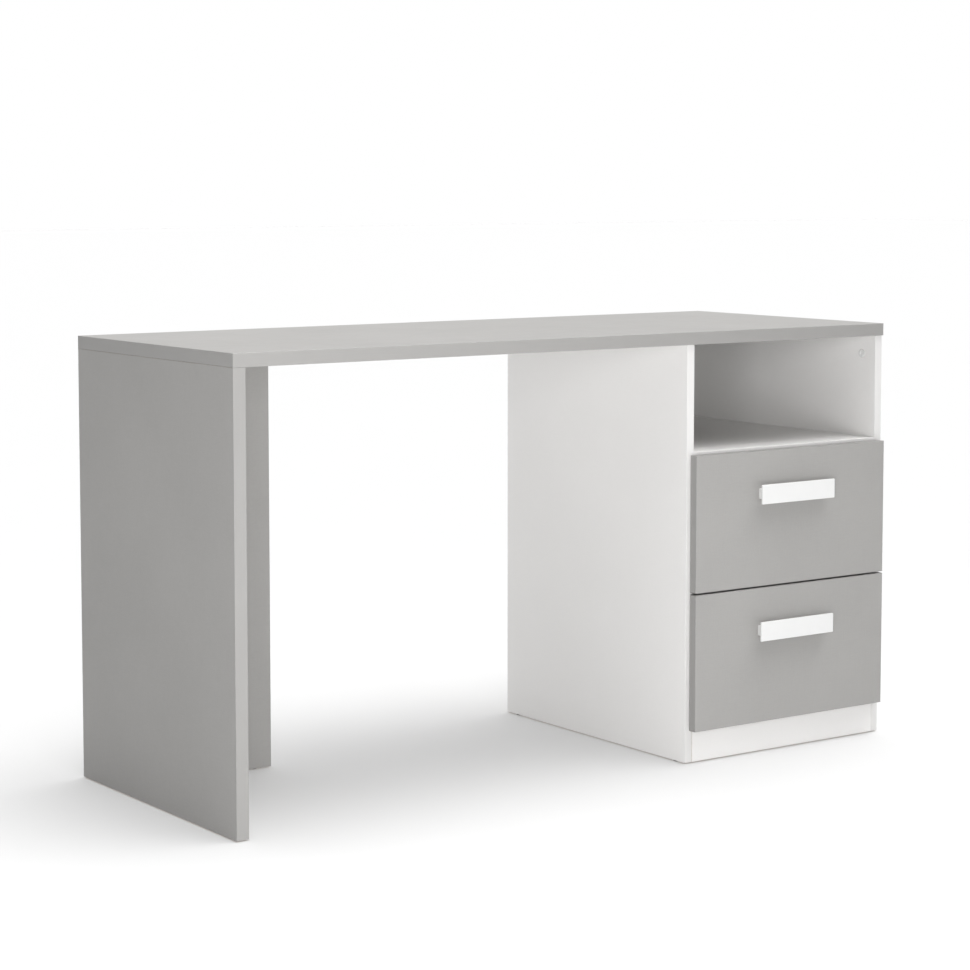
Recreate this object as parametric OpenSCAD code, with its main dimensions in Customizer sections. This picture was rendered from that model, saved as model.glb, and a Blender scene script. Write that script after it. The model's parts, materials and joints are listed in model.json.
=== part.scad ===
// Writing desk: a long desktop on a leg panel at the left and a two-drawer pedestal at the right.
// Millimetres. +Z is up, -Y is the side a person sits at, and the floor is z = 0.
// The origin is on the floor, at the middle of the whole desk's length and depth.

/* [Desktop] */
// Length of the desktop
desk_w = 1350; // [1125:5:1620]
// Depth of the desktop, front to back
desk_d = 520; // [430:5:630]
// Height of the desktop's upper face above the floor
desk_h = 750; // [625:5:900]
// Thickness of the desktop board
top_t = 22; // [18:1:28]

/* [Leg and stiffener] */
// Thickness of the leg panel and of the stiffener panel
leg_t = 22; // [18:1:28]
// Width of the stiffener panel, from the leg panel to its free edge
fin_w = 275; // [225:5:330]
// Distance from the stiffener's rear face to the desktop's rear edge
fin_inset = 98; // [40:1:150]

/* [Pedestal] */
// Outer width of the pedestal
ped_w = 458; // [380:1:550]
// How far the pedestal's front edges stand behind the desktop's front edge
ped_set = 4; // [2:0.5:12]
// How far the pedestal stands out behind the desktop's rear edge
ped_proud = 8; // [0:1:20]
// Thickness of the pedestal's boards
ped_t = 16; // [15:1:19]
// Clear height of the open niche between the desktop and the shelf
niche_h = 185; // [120:1:225]
// Height of the plinth boards under the pedestal
plinth_h = 60; // [40:1:90]
// Distance from the rear plinth to the sides' rear edges
plinth_rear_set = 30; // [12:1:80]
// Thickness of the pedestal's back panel and of the drawer bottoms
sheet_t = 3; // [2.5:0.5:5]
// Distance from the back panel to the sides' rear edges
back_inset = 8; // [6:1:20]
// Depth of the grooves that hold the back panel and the drawer bottoms
groove_d = 6; // [4:0.5:7]

/* [Drawer fronts] */
// Thickness of a drawer front
front_t = 16; // [15:1:22]
// Distance from a drawer front's end to the pedestal's outer face
front_inset = 8; // [2:0.5:12]
// Gap between the upper and the lower drawer front
front_gap = 3; // [2:0.5:6]
// Gap between a closed drawer front and the pedestal's front edges
front_clear = 1; // [0.5:0.1:3]
// Height of the shelf's front edge that shows above the upper drawer front
shelf_show = 5; // [2:0.5:10]
// How far the lower drawer front reaches below the bottom board
front_lap = 4; // [0:0.5:12]

/* [Drawer boxes] */
// Thickness of a drawer's side and back boards
box_t = 12; // [12:0.5:15]
// Gap between a drawer's side and the pedestal's side, filled by the runners
side_gap = 12.5; // [12.5:0.1:13.5]
// Distance from a drawer side's top edge to its front's top edge
side_drop = 45; // [32:1:80]
// Distance from a drawer side's lower edge to the drawer bottom
bottom_lift = 10; // [8:0.5:20]

/* [Handles] */
// Length of the handle's plate
handle_l = 170; // [140:1:210]
// Height of the handle's plate
handle_h = 34; // [24:1:42]
// Thickness of the handle's plate
plate_t = 3.5; // [2.5:0.5:5]
// Depth of the spine that holds the plate off the drawer front
spine_d = 13.5; // [10:0.5:25]
// Height of the spine
spine_h = 18; // [12:0.5:22]
// Distance from the spine's ends to the plate's ends
spine_inset = 7; // [2:0.5:12]
// Distance from the handle's centre to the top edge of the drawer front
handle_drop = 75; // [40:1:100]
// Distance between the two handle screws
handle_screw_gap = 128; // [96:32:128]

/* [Runners] */
// Thickness of the runners' sheet steel
rail_s = 1.2; // [1:0.1:1.5]
// Height of the channel fixed to the pedestal
rail_h = 30; // [28:1:34]
// Distance from the lower edge of the channel to the board below it
rail_lift = 8; // [5:1:20]
// Radius of a runner's roller
roller_r = 10; // [8:0.5:10.5]
// Width of a runner's roller
roller_w = 5.6; // [4:0.1:6]
// Radius of a roller's pin
pin_r = 2.5; // [2:0.1:3]
// Length of runner that stays engaged when a drawer is fully open
rail_overlap = 110; // [90:5:150]
// Runners come in lengths that are multiples of this
rail_step = 50; // [25:25:50]

/* [Edges and floor] */
// Thickness of the edge bands glued to the boards
band_t = 1; // [0.5:0.5:2]
// Thickness of the glides under the standing boards
glide_h = 2; // [1:0.5:5]
// Radius of a glide
glide_r = 7; // [5:0.5:7.5]

/* [Fittings] */
// Radius of a cam housing
cam_r = 7.5; // [6:0.5:7.5]
// Depth of a cam housing in its board
cam_d = 12.5; // [10:0.5:13]
// Distance from a cam's centre to the end of its board
cam_drop = 34; // [24:1:40]
// Distance from the outer cams to the front and rear edges
cam_set = 35; // [30:1:60]
// Radius of a cam's connecting bolt
bolt_r = 3; // [2.5:0.5:3.5]
// Depth that a connecting bolt goes into the second board
bolt_in = 10; // [8:0.5:11]
// Radius of a wooden dowel
dowel_r = 4; // [3:0.5:4]
// Length of a wooden dowel
dowel_l = 30; // [25:1:35]
// Thickness of a cam's cover cap where it stands out of the board
cap_t = 1.2; // [0.8:0.1:2]

/* [Hidden] */
$fn = 48;
eps = 0.01;

// Colours
grey = [0.66, 0.65, 0.64];
grey_edge = [0.70, 0.69, 0.68];
white = [0.93, 0.93, 0.92];
white_edge = [0.96, 0.96, 0.95];
zinc = [0.72, 0.73, 0.75];
beech = [0.80, 0.66, 0.47];

// Clearances
slip = 0.05;         // between a screw, bolt, dowel or pin and its hole
cam_slip = 0.1;      // round a cam housing
hole_extra = 0.5;    // past the end of a dowel or screw
sheet_slip = 0.2;    // between a sheet panel and its groove
sheet_end = 0.5;     // between a sheet panel's edge and the floor of its groove
run_slip = 0.3;      // between a roller and the steel that it runs on
over = 1;            // how far a cutter stands out of what it cuts

// Overall places
x_left = -desk_w/2;
x_right = desk_w/2;
handle_reach = spine_d + plate_t;
front_out = front_t + front_clear - ped_set;
y_front = -(handle_reach + front_out + desk_d + ped_proud)/2 + handle_reach + front_out;
y_rear = y_front + desk_d;
z_under = desk_h - top_t;
board_h = z_under - glide_h;

// Leg and stiffener
x_leg_in = x_left + leg_t;
x_fin_end = x_leg_in + fin_w;
y_fin = y_rear - fin_inset - leg_t;
fin_cam_set = 60;    // from the stiffener's upright edges to its upper cams
fin_cam_low = 120;   // from the stiffener's ends to its cams at the leg panel

// Pedestal
ped_x0 = x_right - ped_w;
ped_mid = x_right - ped_w/2;
ped_y0 = y_front + ped_set;
ped_y1 = y_rear + ped_proud;
in_w = ped_w - 2*ped_t;
z_shelf = z_under - niche_h - ped_t;
z_bottom = glide_h + plinth_h;
y_back = ped_y1 - back_inset - sheet_t;
inner_d = y_back - ped_y0;
plinth_y = [ped_y0, ped_y1 - plinth_rear_set - ped_t];
plinth_cam_z = glide_h + plinth_h/2;

// Drawers: index 0 is the upper one, 1 the lower one
front_w = ped_w - 2*front_inset;
z_fronts = z_bottom - front_lap;
front_h = (z_shelf + ped_t - shelf_show - z_fronts - front_gap)/2;
front_z = [z_fronts + front_h + front_gap, z_fronts];
y_face = ped_y0 - front_clear;
rail_z = [for (z = front_z) z + front_lap + ped_t + rail_lift];
box_w = in_w - 2*side_gap;
rail_flange_z = 4;   // from the channel's lower edge to the drawer rail's lower face
side_z = [for (z = rail_z) z + rail_flange_z + rail_s];
side_h = front_h - side_drop - (side_z[1] - front_z[1]);
handle_z = [for (z = front_z) z + front_h - handle_drop];
box_in = box_w - 2*box_t;

// Runners, across the gap from the pedestal's side (u = 0) to the drawer's side (u = side_gap)
rail_room = 15;      // behind the runners, ahead of the back panel
rail_len = rail_step*floor((inner_d - rail_room)/rail_step);
travel = rail_len - rail_overlap;
rail_set = 2;        // from the pedestal's front edge to the channel
channel_gap = 2;     // from the channel to the drawer's side
channel_w = side_gap - channel_gap;
web_u = side_gap - rail_s;
flange_u = 3.2;      // outer edge of the drawer rail's running flange
roller_u = 4.2;      // outer face of a roller
roller_z = rail_s + run_slip + roller_r;
running_gap = 0.5;   // from a front roller to the drawer rail's flange
running_z = roller_z + roller_r + running_gap;
rail_start = 2;      // from a drawer front's rear face to the drawer rail
foot_inset = 1;      // from the rail's foot to the inner face of the drawer's side
head_r = 4;          // radius of a roller pin's head
head_t = 0.6;        // thickness of a roller pin's head
front_end = 3;       // from the channel's front end to the front roller
rear_end = 2;        // from the rear roller to the drawer rail's rear end
y_front_roller = ped_y0 + rail_set + roller_r + front_end;
y_rear_roller = y_face + rail_len - roller_r - rear_end;
stop_u = 4.5;        // outer face of the channel's pressed stop
stop_h = 3;          // height of the stop
stop_w = 5;          // width of the stop
stop_len = 4;        // length of the stop
stop_reach = sqrt(roller_r*roller_r - pow(roller_z - rail_s - stop_h, 2));
y_stop = y_rear_roller - travel - stop_reach - run_slip - stop_len;

// Screws
screw_r = 1.75;
screw_head_r = 4;
screw_head_t = 1.2;
runner_screw_l = 13;
rail_screw_l = 10;
rail_screw_head_r = 3.5;
handle_screw_r = 2;
handle_screw_head_t = 2.4;
handle_screw_grip = 9;  // depth of the handle screw in the handle's spine
hole_pitch = 32;
first_hole = 37;        // from the pedestal's front edge to the first screw
last_hole = 25;         // from the last screw to the channel's rear end, at least
runner_screw_y = [for (part = [0, 0.5, 1]) ped_y0 + first_hole
    + hole_pitch*floor((rail_len - first_hole - last_hole)*part/hole_pitch)];
rail_screw_y = [for (part = [0.1, 0.5, 0.85]) y_face + rail_len*part];

// Slots and bores of cam housings
slot_w = 1.2;        // width of the cross slot
slot_d = 1.5;        // depth of the cross slot
slot_share = 0.6;    // length of the cross slot as a share of the housing's width
bolt_room = 1;       // round a bolt, in the board that holds its cam
head_room = 0.6;     // round a bolt, in its cam
bolt_start = 2;      // from a cam's centre to the end of its bolt

// Small cams and screws of the drawer boxes
box_cam_r = 6;
box_cam_d = 9.5;
box_cam_drop = 24;
box_bolt_r = 2.5;
box_cam_set = 30;    // from the cams to the side's lower and upper edges
box_cam_z = [box_cam_set, side_h - box_cam_set];
box_screw_r = 2.5;
box_screw_head_r = 3.5;
box_screw_head_t = 2;
box_screw_l = 40;
box_screw_low = 45;  // from the lower screw to the side's lower edge
box_screw_z = [box_screw_low, side_h - box_cam_set];

// Fittings between boards: [place on the joint, turn, thickness of the board that holds the cam].
// Untouched, the bolt points up (+Z) into the second board and the cam's face looks along +X.
cam_turn_right = [0, 90, 0];
cam_turn_left = [0, 90, 180];
leg_top_cams = [for (y = [y_front + cam_set, y_rear - cam_set]) [[x_left + leg_t/2, y, z_under],
    [0, 0, 0], leg_t]];
fin_top_cams = [for (x = [x_leg_in + fin_cam_set, x_fin_end - fin_cam_set])
    [[x, y_fin + leg_t/2, z_under], [0, 0, 90], leg_t]];
fin_leg_cams = [for (z = [glide_h + fin_cam_low, z_under - fin_cam_low])
    [[x_leg_in, y_fin + leg_t/2, z], [-90, 0, 90], leg_t]];
left_top_cams = [for (y = [ped_y0 + cam_set, y_rear - cam_set])
    [[ped_x0 + ped_t/2, y, z_under], [0, 0, 0], ped_t]];
right_top_cams = [for (y = [ped_y0 + cam_set, y_rear - cam_set])
    [[x_right - ped_t/2, y, z_under], [0, 0, 180], ped_t]];
level_y = [ped_y0 + cam_set + hole_pitch, y_back - cam_set - hole_pitch];
level_z = [z_shelf + ped_t/2, z_bottom + ped_t/2];
function level_cams(z, left) = [for (y = level_y) [[left ? ped_x0 + ped_t : x_right - ped_t, y, z],
    left ? cam_turn_left : cam_turn_right, ped_t]];
function plinth_cams(i, left) = let (way = i == 0 ? 1 : -1)
    [[[left ? ped_x0 + ped_t : x_right - ped_t, plinth_y[i] + ped_t/2, plinth_cam_z],
    [(left ? -90 : 90)*way, 0, 90*way], ped_t]];
left_level_cams = concat(level_cams(level_z[0], true), level_cams(level_z[1], true),
    plinth_cams(0, true), plinth_cams(1, true));
right_level_cams = concat(level_cams(level_z[0], false), level_cams(level_z[1], false),
    plinth_cams(0, false), plinth_cams(1, false));
top_cams = concat(leg_top_cams, fin_top_cams, left_top_cams, right_top_cams);
all_cams = concat(top_cams, fin_leg_cams, left_level_cams, right_level_cams);

// Dowels beside the cams: [middle of the joint, turn]
leg_top_dowels = [for (c = leg_top_cams, s = [-1, 1]) if (s*(c[0][1] - (y_front + y_rear)/2) < 0)
    [c[0] + [0, s*hole_pitch, 0], c[1]]];
fin_top_dowels = [[[(x_leg_in + x_fin_end)/2, y_fin + leg_t/2, z_under], [0, 0, 0]]];
fin_leg_dowels = [[[x_leg_in, y_fin + leg_t/2, (glide_h + z_under)/2], [0, -90, 0]]];
function side_top_dowels(x) = [for (y = [ped_y0 + cam_set + hole_pitch, y_rear - cam_set - hole_pitch])
    [[x, y, z_under], [0, 0, 0]]];
function level_dowels(x, way) = [for (z = level_z, y = [level_y[0] + hole_pitch, level_y[1] - hole_pitch])
    [[x, y, z], [0, 90*way, 0]]];
left_top_dowels = side_top_dowels(ped_x0 + ped_t/2);
right_top_dowels = side_top_dowels(x_right - ped_t/2);
left_level_dowels = level_dowels(ped_x0 + ped_t, -1);
right_level_dowels = level_dowels(x_right - ped_t, 1);
top_dowels = concat(leg_top_dowels, fin_top_dowels, left_top_dowels, right_top_dowels);
all_dowels = concat(top_dowels, fin_leg_dowels, left_level_dowels, right_level_dowels);
dowel_in = 10;       // depth of a dowel in the second board

// Glides: middle of each one
glide_set = 30;      // from the boards' edges to the glides
leg_glides = [for (y = [y_front + glide_set, y_rear - glide_set]) [x_left + leg_t/2, y]];
fin_glides = [[x_fin_end - glide_set, y_fin + leg_t/2]];
function side_glides(x) = [for (y = [ped_y0 + glide_set, ped_y1 - glide_set]) [x, y]];
left_glides = side_glides(ped_x0 + ped_t/2);
right_glides = side_glides(x_right - ped_t/2);
stem_r = 1.25;
stem_l = 12;

// ---- Helpers ----

module block(low, size) {
    translate(low) cube(size);
}

// A round bar along +X from low
module bar_x(low, r, len) {
    translate(low) rotate([0, 90, 0]) cylinder(r = r, h = len);
}

// Places children at each fitting of a list
module at_each(list) {
    for (f = list) translate(f[0]) rotate(f[1]) children();
}

// Room that cams and their bolts take in both boards
module cam_room(list) {
    for (f = list) translate(f[0]) rotate(f[1]) {
        bar_x([f[2]/2 - cam_d, 0, -cam_drop], cam_r + cam_slip, cam_d + over);
        translate([0, 0, -cam_drop]) cylinder(r = bolt_r + bolt_room, h = cam_drop);
        translate([0, 0, -eps]) cylinder(r = bolt_r + slip, h = bolt_in + hole_extra);
    }
}

// Room that dowels take in both boards
module dowel_room(list) {
    at_each(list) translate([0, 0, dowel_in - dowel_l - hole_extra])
        cylinder(r = dowel_r + slip, h = dowel_l + 2*hole_extra);
}

// Room for the stems of glides
module stem_room(list) {
    for (p = list) translate([p[0], p[1], glide_h - eps])
        cylinder(r = stem_r + slip, h = stem_l + hole_extra);
}

// Places children at the pedestal's middle, as they are for the left side or mirrored for the right
module on_side(right) {
    translate([ped_mid, 0, 0]) mirror([right ? 1 : 0, 0, 0]) children();
}

// ---- Desktop, leg and stiffener ----

module desktop() {
    color(grey) difference() {
        block([x_left + band_t, y_front + band_t, z_under], [desk_w - 2*band_t, desk_d - 2*band_t, top_t]);
        cam_room(top_cams);
        dowel_room(top_dowels);
    }
}

module desktop_edge_bands() {
    color(grey_edge) {
        for (y = [y_front, y_rear - band_t]) block([x_left, y, z_under], [desk_w, band_t, top_t]);
        for (x = [x_left, x_right - band_t])
            block([x, y_front + band_t, z_under], [band_t, desk_d - 2*band_t, top_t]);
    }
}

module leg_panel() {
    color(grey) difference() {
        block([x_left, y_front + band_t, glide_h], [leg_t, desk_d - 2*band_t, board_h]);
        cam_room(leg_top_cams);
        cam_room(fin_leg_cams);
        dowel_room(concat(leg_top_dowels, fin_leg_dowels));
        stem_room(leg_glides);
    }
}

// Bands on the leg panel's front and rear edges and on the stiffener's free edge
module leg_edge_bands() {
    color(grey_edge) {
        for (y = [y_front, y_rear - band_t]) block([x_left, y, glide_h], [leg_t, band_t, board_h]);
        block([x_fin_end - band_t, y_fin, glide_h], [band_t, leg_t, board_h]);
    }
}

module stiffener_panel() {
    color(grey) difference() {
        block([x_leg_in, y_fin, glide_h], [fin_w - band_t, leg_t, board_h]);
        cam_room(fin_top_cams);
        cam_room(fin_leg_cams);
        dowel_room(concat(fin_top_dowels, fin_leg_dowels));
        stem_room(fin_glides);
    }
}

// ---- Pedestal ----

module side_board(x) {
    block([x, ped_y0 + band_t, glide_h], [ped_t, ped_y1 - ped_y0 - band_t, board_h]);
}

// Groove for the back panel, between the sides' inner faces and the grooves' floors
module back_groove() {
    block([ped_x0 + ped_t - groove_d, y_back - sheet_slip/2, z_bottom - sheet_end],
        [in_w + 2*groove_d, sheet_t + sheet_slip, z_under - z_bottom + over]);
}

// Pilot holes for the screws that hold the two channels of one side
module runner_pilots(right) {
    for (z = rail_z, y = runner_screw_y) on_side(right)
        bar_x([-in_w/2 - runner_screw_l + rail_s - hole_extra, y, z + rail_h/2], screw_r + slip, runner_screw_l);
}

module pedestal_left_side() {
    color(white) difference() {
        side_board(ped_x0);
        back_groove();
        cam_room(concat(left_top_cams, left_level_cams));
        dowel_room(concat(left_top_dowels, left_level_dowels));
        stem_room(left_glides);
        runner_pilots(false);
    }
}

module pedestal_right_side() {
    color(white) difference() {
        side_board(x_right - ped_t);
        back_groove();
        cam_room(concat(right_top_cams, right_level_cams));
        dowel_room(concat(right_top_dowels, right_level_dowels));
        stem_room(right_glides);
        runner_pilots(true);
    }
}

// Bands on the front edges of both sides, the shelf and the bottom board
module pedestal_edge_bands() {
    color(white_edge) {
        for (x = [ped_x0, x_right - ped_t]) block([x, ped_y0, glide_h], [ped_t, band_t, board_h]);
        for (z = [z_shelf, z_bottom]) block([ped_x0 + ped_t, ped_y0, z], [in_w, band_t, ped_t]);
    }
}

module level_board(z, i) {
    difference() {
        block([ped_x0 + ped_t, ped_y0 + band_t, z], [in_w, inner_d - band_t - sheet_slip, ped_t]);
        cam_room(level_cams(level_z[i], true));
        cam_room(level_cams(level_z[i], false));
        dowel_room([for (d = concat(left_level_dowels, right_level_dowels)) if (d[0][2] == level_z[i]) d]);
    }
}

module pedestal_shelf() {
    color(white) level_board(z_shelf, 0);
}

module pedestal_bottom() {
    color(white) level_board(z_bottom, 1);
}

module plinth(i) {
    color(white) difference() {
        block([ped_x0 + ped_t, plinth_y[i], glide_h], [in_w, ped_t, plinth_h]);
        cam_room(plinth_cams(i, true));
        cam_room(plinth_cams(i, false));
    }
}

module plinth_front() {
    plinth(0);
}

module plinth_rear() {
    plinth(1);
}

module back_panel() {
    color(white) block([ped_x0 + ped_t - groove_d + sheet_end, y_back, z_bottom],
        [in_w + 2*(groove_d - sheet_end), sheet_t, z_under - z_bottom - sheet_end]);
}

// ---- Fittings of the fixed frame ----

// A cam housing: a short round zinc casting with a cross slot and a bore for the bolt's head
module cam_housing(r, depth, t, drop, bolt) {
    difference() {
        bar_x([t/2 - depth, 0, -drop], r, depth);
        translate([0, 0, -drop]) cylinder(r = bolt + head_room, h = drop);
        translate([t/2 - slot_d, -r*slot_share, -drop - slot_w/2]) cube([slot_d + over, 2*r*slot_share, slot_w]);
        translate([t/2 - slot_d, -slot_w/2, -drop - r*slot_share]) cube([slot_d + over, slot_w, 2*r*slot_share]);
    }
}

module cam_housings() {
    color(zinc) for (f = all_cams) translate(f[0]) rotate(f[1])
        cam_housing(cam_r, cam_d, f[2], cam_drop, bolt_r);
}

module cam_bolts() {
    color(zinc) at_each(all_cams) translate([0, 0, bolt_start - cam_drop])
        cylinder(r = bolt_r, h = cam_drop + bolt_in - bolt_start);
}

// White caps over the four cams that show in the niche
module cam_caps() {
    color(white_edge) for (f = concat(left_top_cams, right_top_cams)) translate(f[0]) rotate(f[1])
        bar_x([f[2]/2, 0, -cam_drop], cam_r, cap_t);
}

module dowels() {
    color(beech) at_each(all_dowels) translate([0, 0, dowel_in - dowel_l]) cylinder(r = dowel_r, h = dowel_l);
}

module glides() {
    color(zinc) for (p = concat(leg_glides, fin_glides, left_glides, right_glides)) translate([p[0], p[1], 0]) {
        cylinder(r = glide_r, h = glide_h);
        cylinder(r = stem_r, h = glide_h + stem_l);
    }
}

// ---- Runners fixed to the pedestal ----

module channel(i, right) {
    color(white_edge) on_side(right) translate([-in_w/2, ped_y0 + rail_set, rail_z[i]]) difference() {
        union() {
            cube([rail_s, rail_len, rail_h]);
            for (z = [0, rail_h - rail_s]) translate([0, 0, z]) cube([channel_w, rail_len, rail_s]);
            block([stop_u, y_stop - ped_y0 - rail_set, 0], [stop_w, stop_len, rail_s + stop_h]);
        }
        for (y = runner_screw_y) bar_x([-over, y - ped_y0 - rail_set, rail_h/2], screw_r + slip, rail_s + 2*over);
        bar_x([-over, y_front_roller - ped_y0 - rail_set, roller_z], pin_r + slip, rail_s + 2*over);
    }
}

module runner_upper_left() {
    channel(0, false);
}

module runner_upper_right() {
    channel(0, true);
}

module runner_lower_left() {
    channel(1, false);
}

module runner_lower_right() {
    channel(1, true);
}

module runner_screws() {
    color(zinc) for (right = [false, true], z = rail_z, y = runner_screw_y) on_side(right)
        translate([-in_w/2, y, z + rail_h/2]) {
            bar_x([rail_s, 0, 0], screw_head_r, screw_head_t);
            bar_x([rail_s - runner_screw_l, 0, 0], screw_r, runner_screw_l + eps);
        }
}

// Pin through the channel's web with a flat head beyond the roller
module runner_pins() {
    color(zinc) for (right = [false, true], z = rail_z) on_side(right)
        translate([-in_w/2, y_front_roller, z + roller_z]) {
            bar_x([0, 0, 0], pin_r, roller_u + roller_w + run_slip + eps);
            bar_x([roller_u + roller_w + run_slip, 0, 0], head_r, head_t);
        }
}

module roller(y, z, right) {
    color(white) on_side(right) translate([-in_w/2 + roller_u, y, z + roller_z]) difference() {
        bar_x([0, 0, 0], roller_r, roller_w);
        bar_x([-over, 0, 0], pin_r + slip, roller_w + 2*over);
    }
}

module front_roller_upper_left() {
    roller(y_front_roller, rail_z[0], false);
}

module front_roller_upper_right() {
    roller(y_front_roller, rail_z[0], true);
}

module front_roller_lower_left() {
    roller(y_front_roller, rail_z[1], false);
}

module front_roller_lower_right() {
    roller(y_front_roller, rail_z[1], true);
}

// ---- Drawers ----

// Places children at each small cam of a drawer's left side, bolt towards the front
module at_box_cams(i) {
    for (z = box_cam_z) translate([-box_w/2 + box_t/2, y_face, side_z[i] + z]) rotate([90, 0, 0]) children();
}

module box_cam_room(i) {
    for (right = [false, true]) on_side(right) at_box_cams(i) {
        bar_x([box_t/2 - box_cam_d, 0, -box_cam_drop], box_cam_r + cam_slip, box_cam_d + over);
        translate([0, 0, -box_cam_drop]) cylinder(r = box_bolt_r + bolt_room, h = box_cam_drop);
        translate([0, 0, -eps]) cylinder(r = box_bolt_r + slip, h = bolt_in + hole_extra);
    }
}

// Groove for the drawer bottom, in the sides and in the front
module bottom_groove(i) {
    block([ped_mid - box_in/2 - groove_d, y_face - groove_d, side_z[i] + bottom_lift],
        [box_in + 2*groove_d, rail_len + groove_d + over, sheet_t + sheet_slip]);
}

// Screws from a drawer's sides into its back; grow widens them into their holes
module back_screws(i, grow) {
    out = grow > 0 ? over : 0;
    deep = grow > 0 ? hole_extra : 0;
    for (right = [false, true], z = box_screw_z) on_side(right)
        translate([-box_w/2, y_face + rail_len - box_t/2, side_z[i] + z]) {
            bar_x([-out, 0, 0], box_screw_r + grow, box_screw_l + out + deep);
            bar_x([-out, 0, 0], box_screw_head_r + grow, box_screw_head_t + grow + out);
        }
}

module drawer_front(i) {
    color(grey) difference() {
        block([ped_mid - front_w/2 + band_t, y_face - front_t, front_z[i] + band_t],
            [front_w - 2*band_t, front_t, front_h - 2*band_t]);
        box_cam_room(i);
        bottom_groove(i);
        for (s = [-1, 1]) translate([ped_mid + s*handle_screw_gap/2, y_face + over, handle_z[i]])
            rotate([90, 0, 0]) cylinder(r = handle_screw_r + slip, h = front_t + 2*over);
    }
}

module drawer_front_bands(i) {
    color(grey_edge) {
        for (z = [front_z[i], front_z[i] + front_h - band_t])
            block([ped_mid - front_w/2, y_face - front_t, z], [front_w, front_t, band_t]);
        for (x = [-front_w/2, front_w/2 - band_t])
            block([ped_mid + x, y_face - front_t, front_z[i] + band_t], [band_t, front_t, front_h - 2*band_t]);
    }
}

module drawer_side(i, right) {
    color(white) difference() {
        on_side(right) block([-box_w/2, y_face, side_z[i]], [box_t, rail_len, side_h]);
        bottom_groove(i);
        box_cam_room(i);
        back_screws(i, slip);
        on_side(right) for (y = rail_screw_y)
            translate([-box_w/2 + box_t/2, y, side_z[i] - eps]) cylinder(r = screw_r + slip, h = rail_screw_l);
    }
}

module drawer_back(i) {
    low = bottom_lift + sheet_t + sheet_slip;
    color(white) difference() {
        block([ped_mid - box_in/2, y_face + rail_len - box_t, side_z[i] + low], [box_in, box_t, side_h - low]);
        back_screws(i, slip);
    }
}

module drawer_bottom(i) {
    color(white) block([ped_mid - box_in/2 - groove_d + sheet_end, y_face - groove_d + sheet_end,
        side_z[i] + bottom_lift], [box_in + 2*(groove_d - sheet_end), rail_len + groove_d - sheet_end, sheet_t]);
}

// A flat plate on a narrower spine, with two screw bosses bored from behind
module drawer_handle(i) {
    y = y_face - front_t;
    color(white_edge) translate([ped_mid, y, handle_z[i]]) difference() {
        union() {
            block([-handle_l/2, -handle_reach, -handle_h/2], [handle_l, plate_t, handle_h]);
            block([-handle_l/2 + spine_inset, -spine_d - eps, -spine_h/2],
                [handle_l - 2*spine_inset, spine_d + eps, spine_h]);
        }
        for (s = [-1, 1]) translate([s*handle_screw_gap/2, over, 0]) rotate([90, 0, 0])
            cylinder(r = handle_screw_r + slip, h = over + handle_screw_grip + hole_extra);
    }
}

module drawer_handle_screws(i) {
    color(zinc) for (s = [-1, 1]) translate([ped_mid + s*handle_screw_gap/2, y_face, handle_z[i]]) {
        rotate([-90, 0, 0]) cylinder(r = screw_head_r, h = handle_screw_head_t);
        rotate([90, 0, 0]) cylinder(r = handle_screw_r, h = front_t + handle_screw_grip);
    }
}

// Steel rail under a drawer's side: a foot under the board, a web beside it and a running flange
module drawer_rail(i, right) {
    len = rail_len - rail_start;
    color(white_edge) on_side(right) translate([-in_w/2, y_face + rail_start, rail_z[i]]) difference() {
        union() {
            block([web_u, 0, rail_flange_z], [rail_s, len, running_z + rail_s - rail_flange_z]);
            block([flange_u, 0, running_z], [web_u - flange_u + eps, len, rail_s]);
            block([side_gap - eps, 0, rail_flange_z], [box_t - foot_inset, len, rail_s]);
        }
        bar_x([web_u - over, y_rear_roller - y_face - rail_start, roller_z], pin_r + slip, rail_s + 2*over);
        for (y = rail_screw_y) translate([side_gap + box_t/2, y - y_face - rail_start, rail_flange_z - over])
            cylinder(r = screw_r + slip, h = rail_s + 2*over);
    }
}

module drawer_rail_screws(i) {
    color(zinc) for (right = [false, true], y = rail_screw_y) on_side(right)
        translate([-box_w/2 + box_t/2, y, side_z[i] - rail_s]) {
            translate([0, 0, -screw_head_t]) cylinder(r = rail_screw_head_r, h = screw_head_t);
            translate([0, 0, -eps]) cylinder(r = screw_r, h = rail_screw_l);
        }
}

module drawer_roller_pins(i) {
    head_u = roller_u - run_slip - head_t;
    color(zinc) for (right = [false, true]) on_side(right)
        translate([-in_w/2, y_rear_roller, rail_z[i] + roller_z]) {
            bar_x([head_u, 0, 0], pin_r, side_gap - head_u);
            bar_x([head_u, 0, 0], head_r, head_t);
        }
}

module drawer_cams(i) {
    color(zinc) for (right = [false, true]) on_side(right) at_box_cams(i)
        cam_housing(box_cam_r, box_cam_d, box_t, box_cam_drop, box_bolt_r);
}

// Bolts of the small cams, and the screws that hold the drawer's back
module drawer_cam_bolts(i) {
    color(zinc) {
        for (right = [false, true]) on_side(right) at_box_cams(i) translate([0, 0, bolt_start - box_cam_drop])
            cylinder(r = box_bolt_r, h = box_cam_drop + bolt_in - bolt_start);
        back_screws(i, 0);
    }
}

module upper_drawer_front() {
    drawer_front(0);
}

module upper_drawer_front_bands() {
    drawer_front_bands(0);
}

module upper_drawer_left_side() {
    drawer_side(0, false);
}

module upper_drawer_right_side() {
    drawer_side(0, true);
}

module upper_drawer_back() {
    drawer_back(0);
}

module upper_drawer_bottom() {
    drawer_bottom(0);
}

module upper_drawer_handle() {
    drawer_handle(0);
}

module upper_drawer_handle_screws() {
    drawer_handle_screws(0);
}

module upper_drawer_left_rail() {
    drawer_rail(0, false);
}

module upper_drawer_right_rail() {
    drawer_rail(0, true);
}

module upper_drawer_rail_screws() {
    drawer_rail_screws(0);
}

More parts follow.
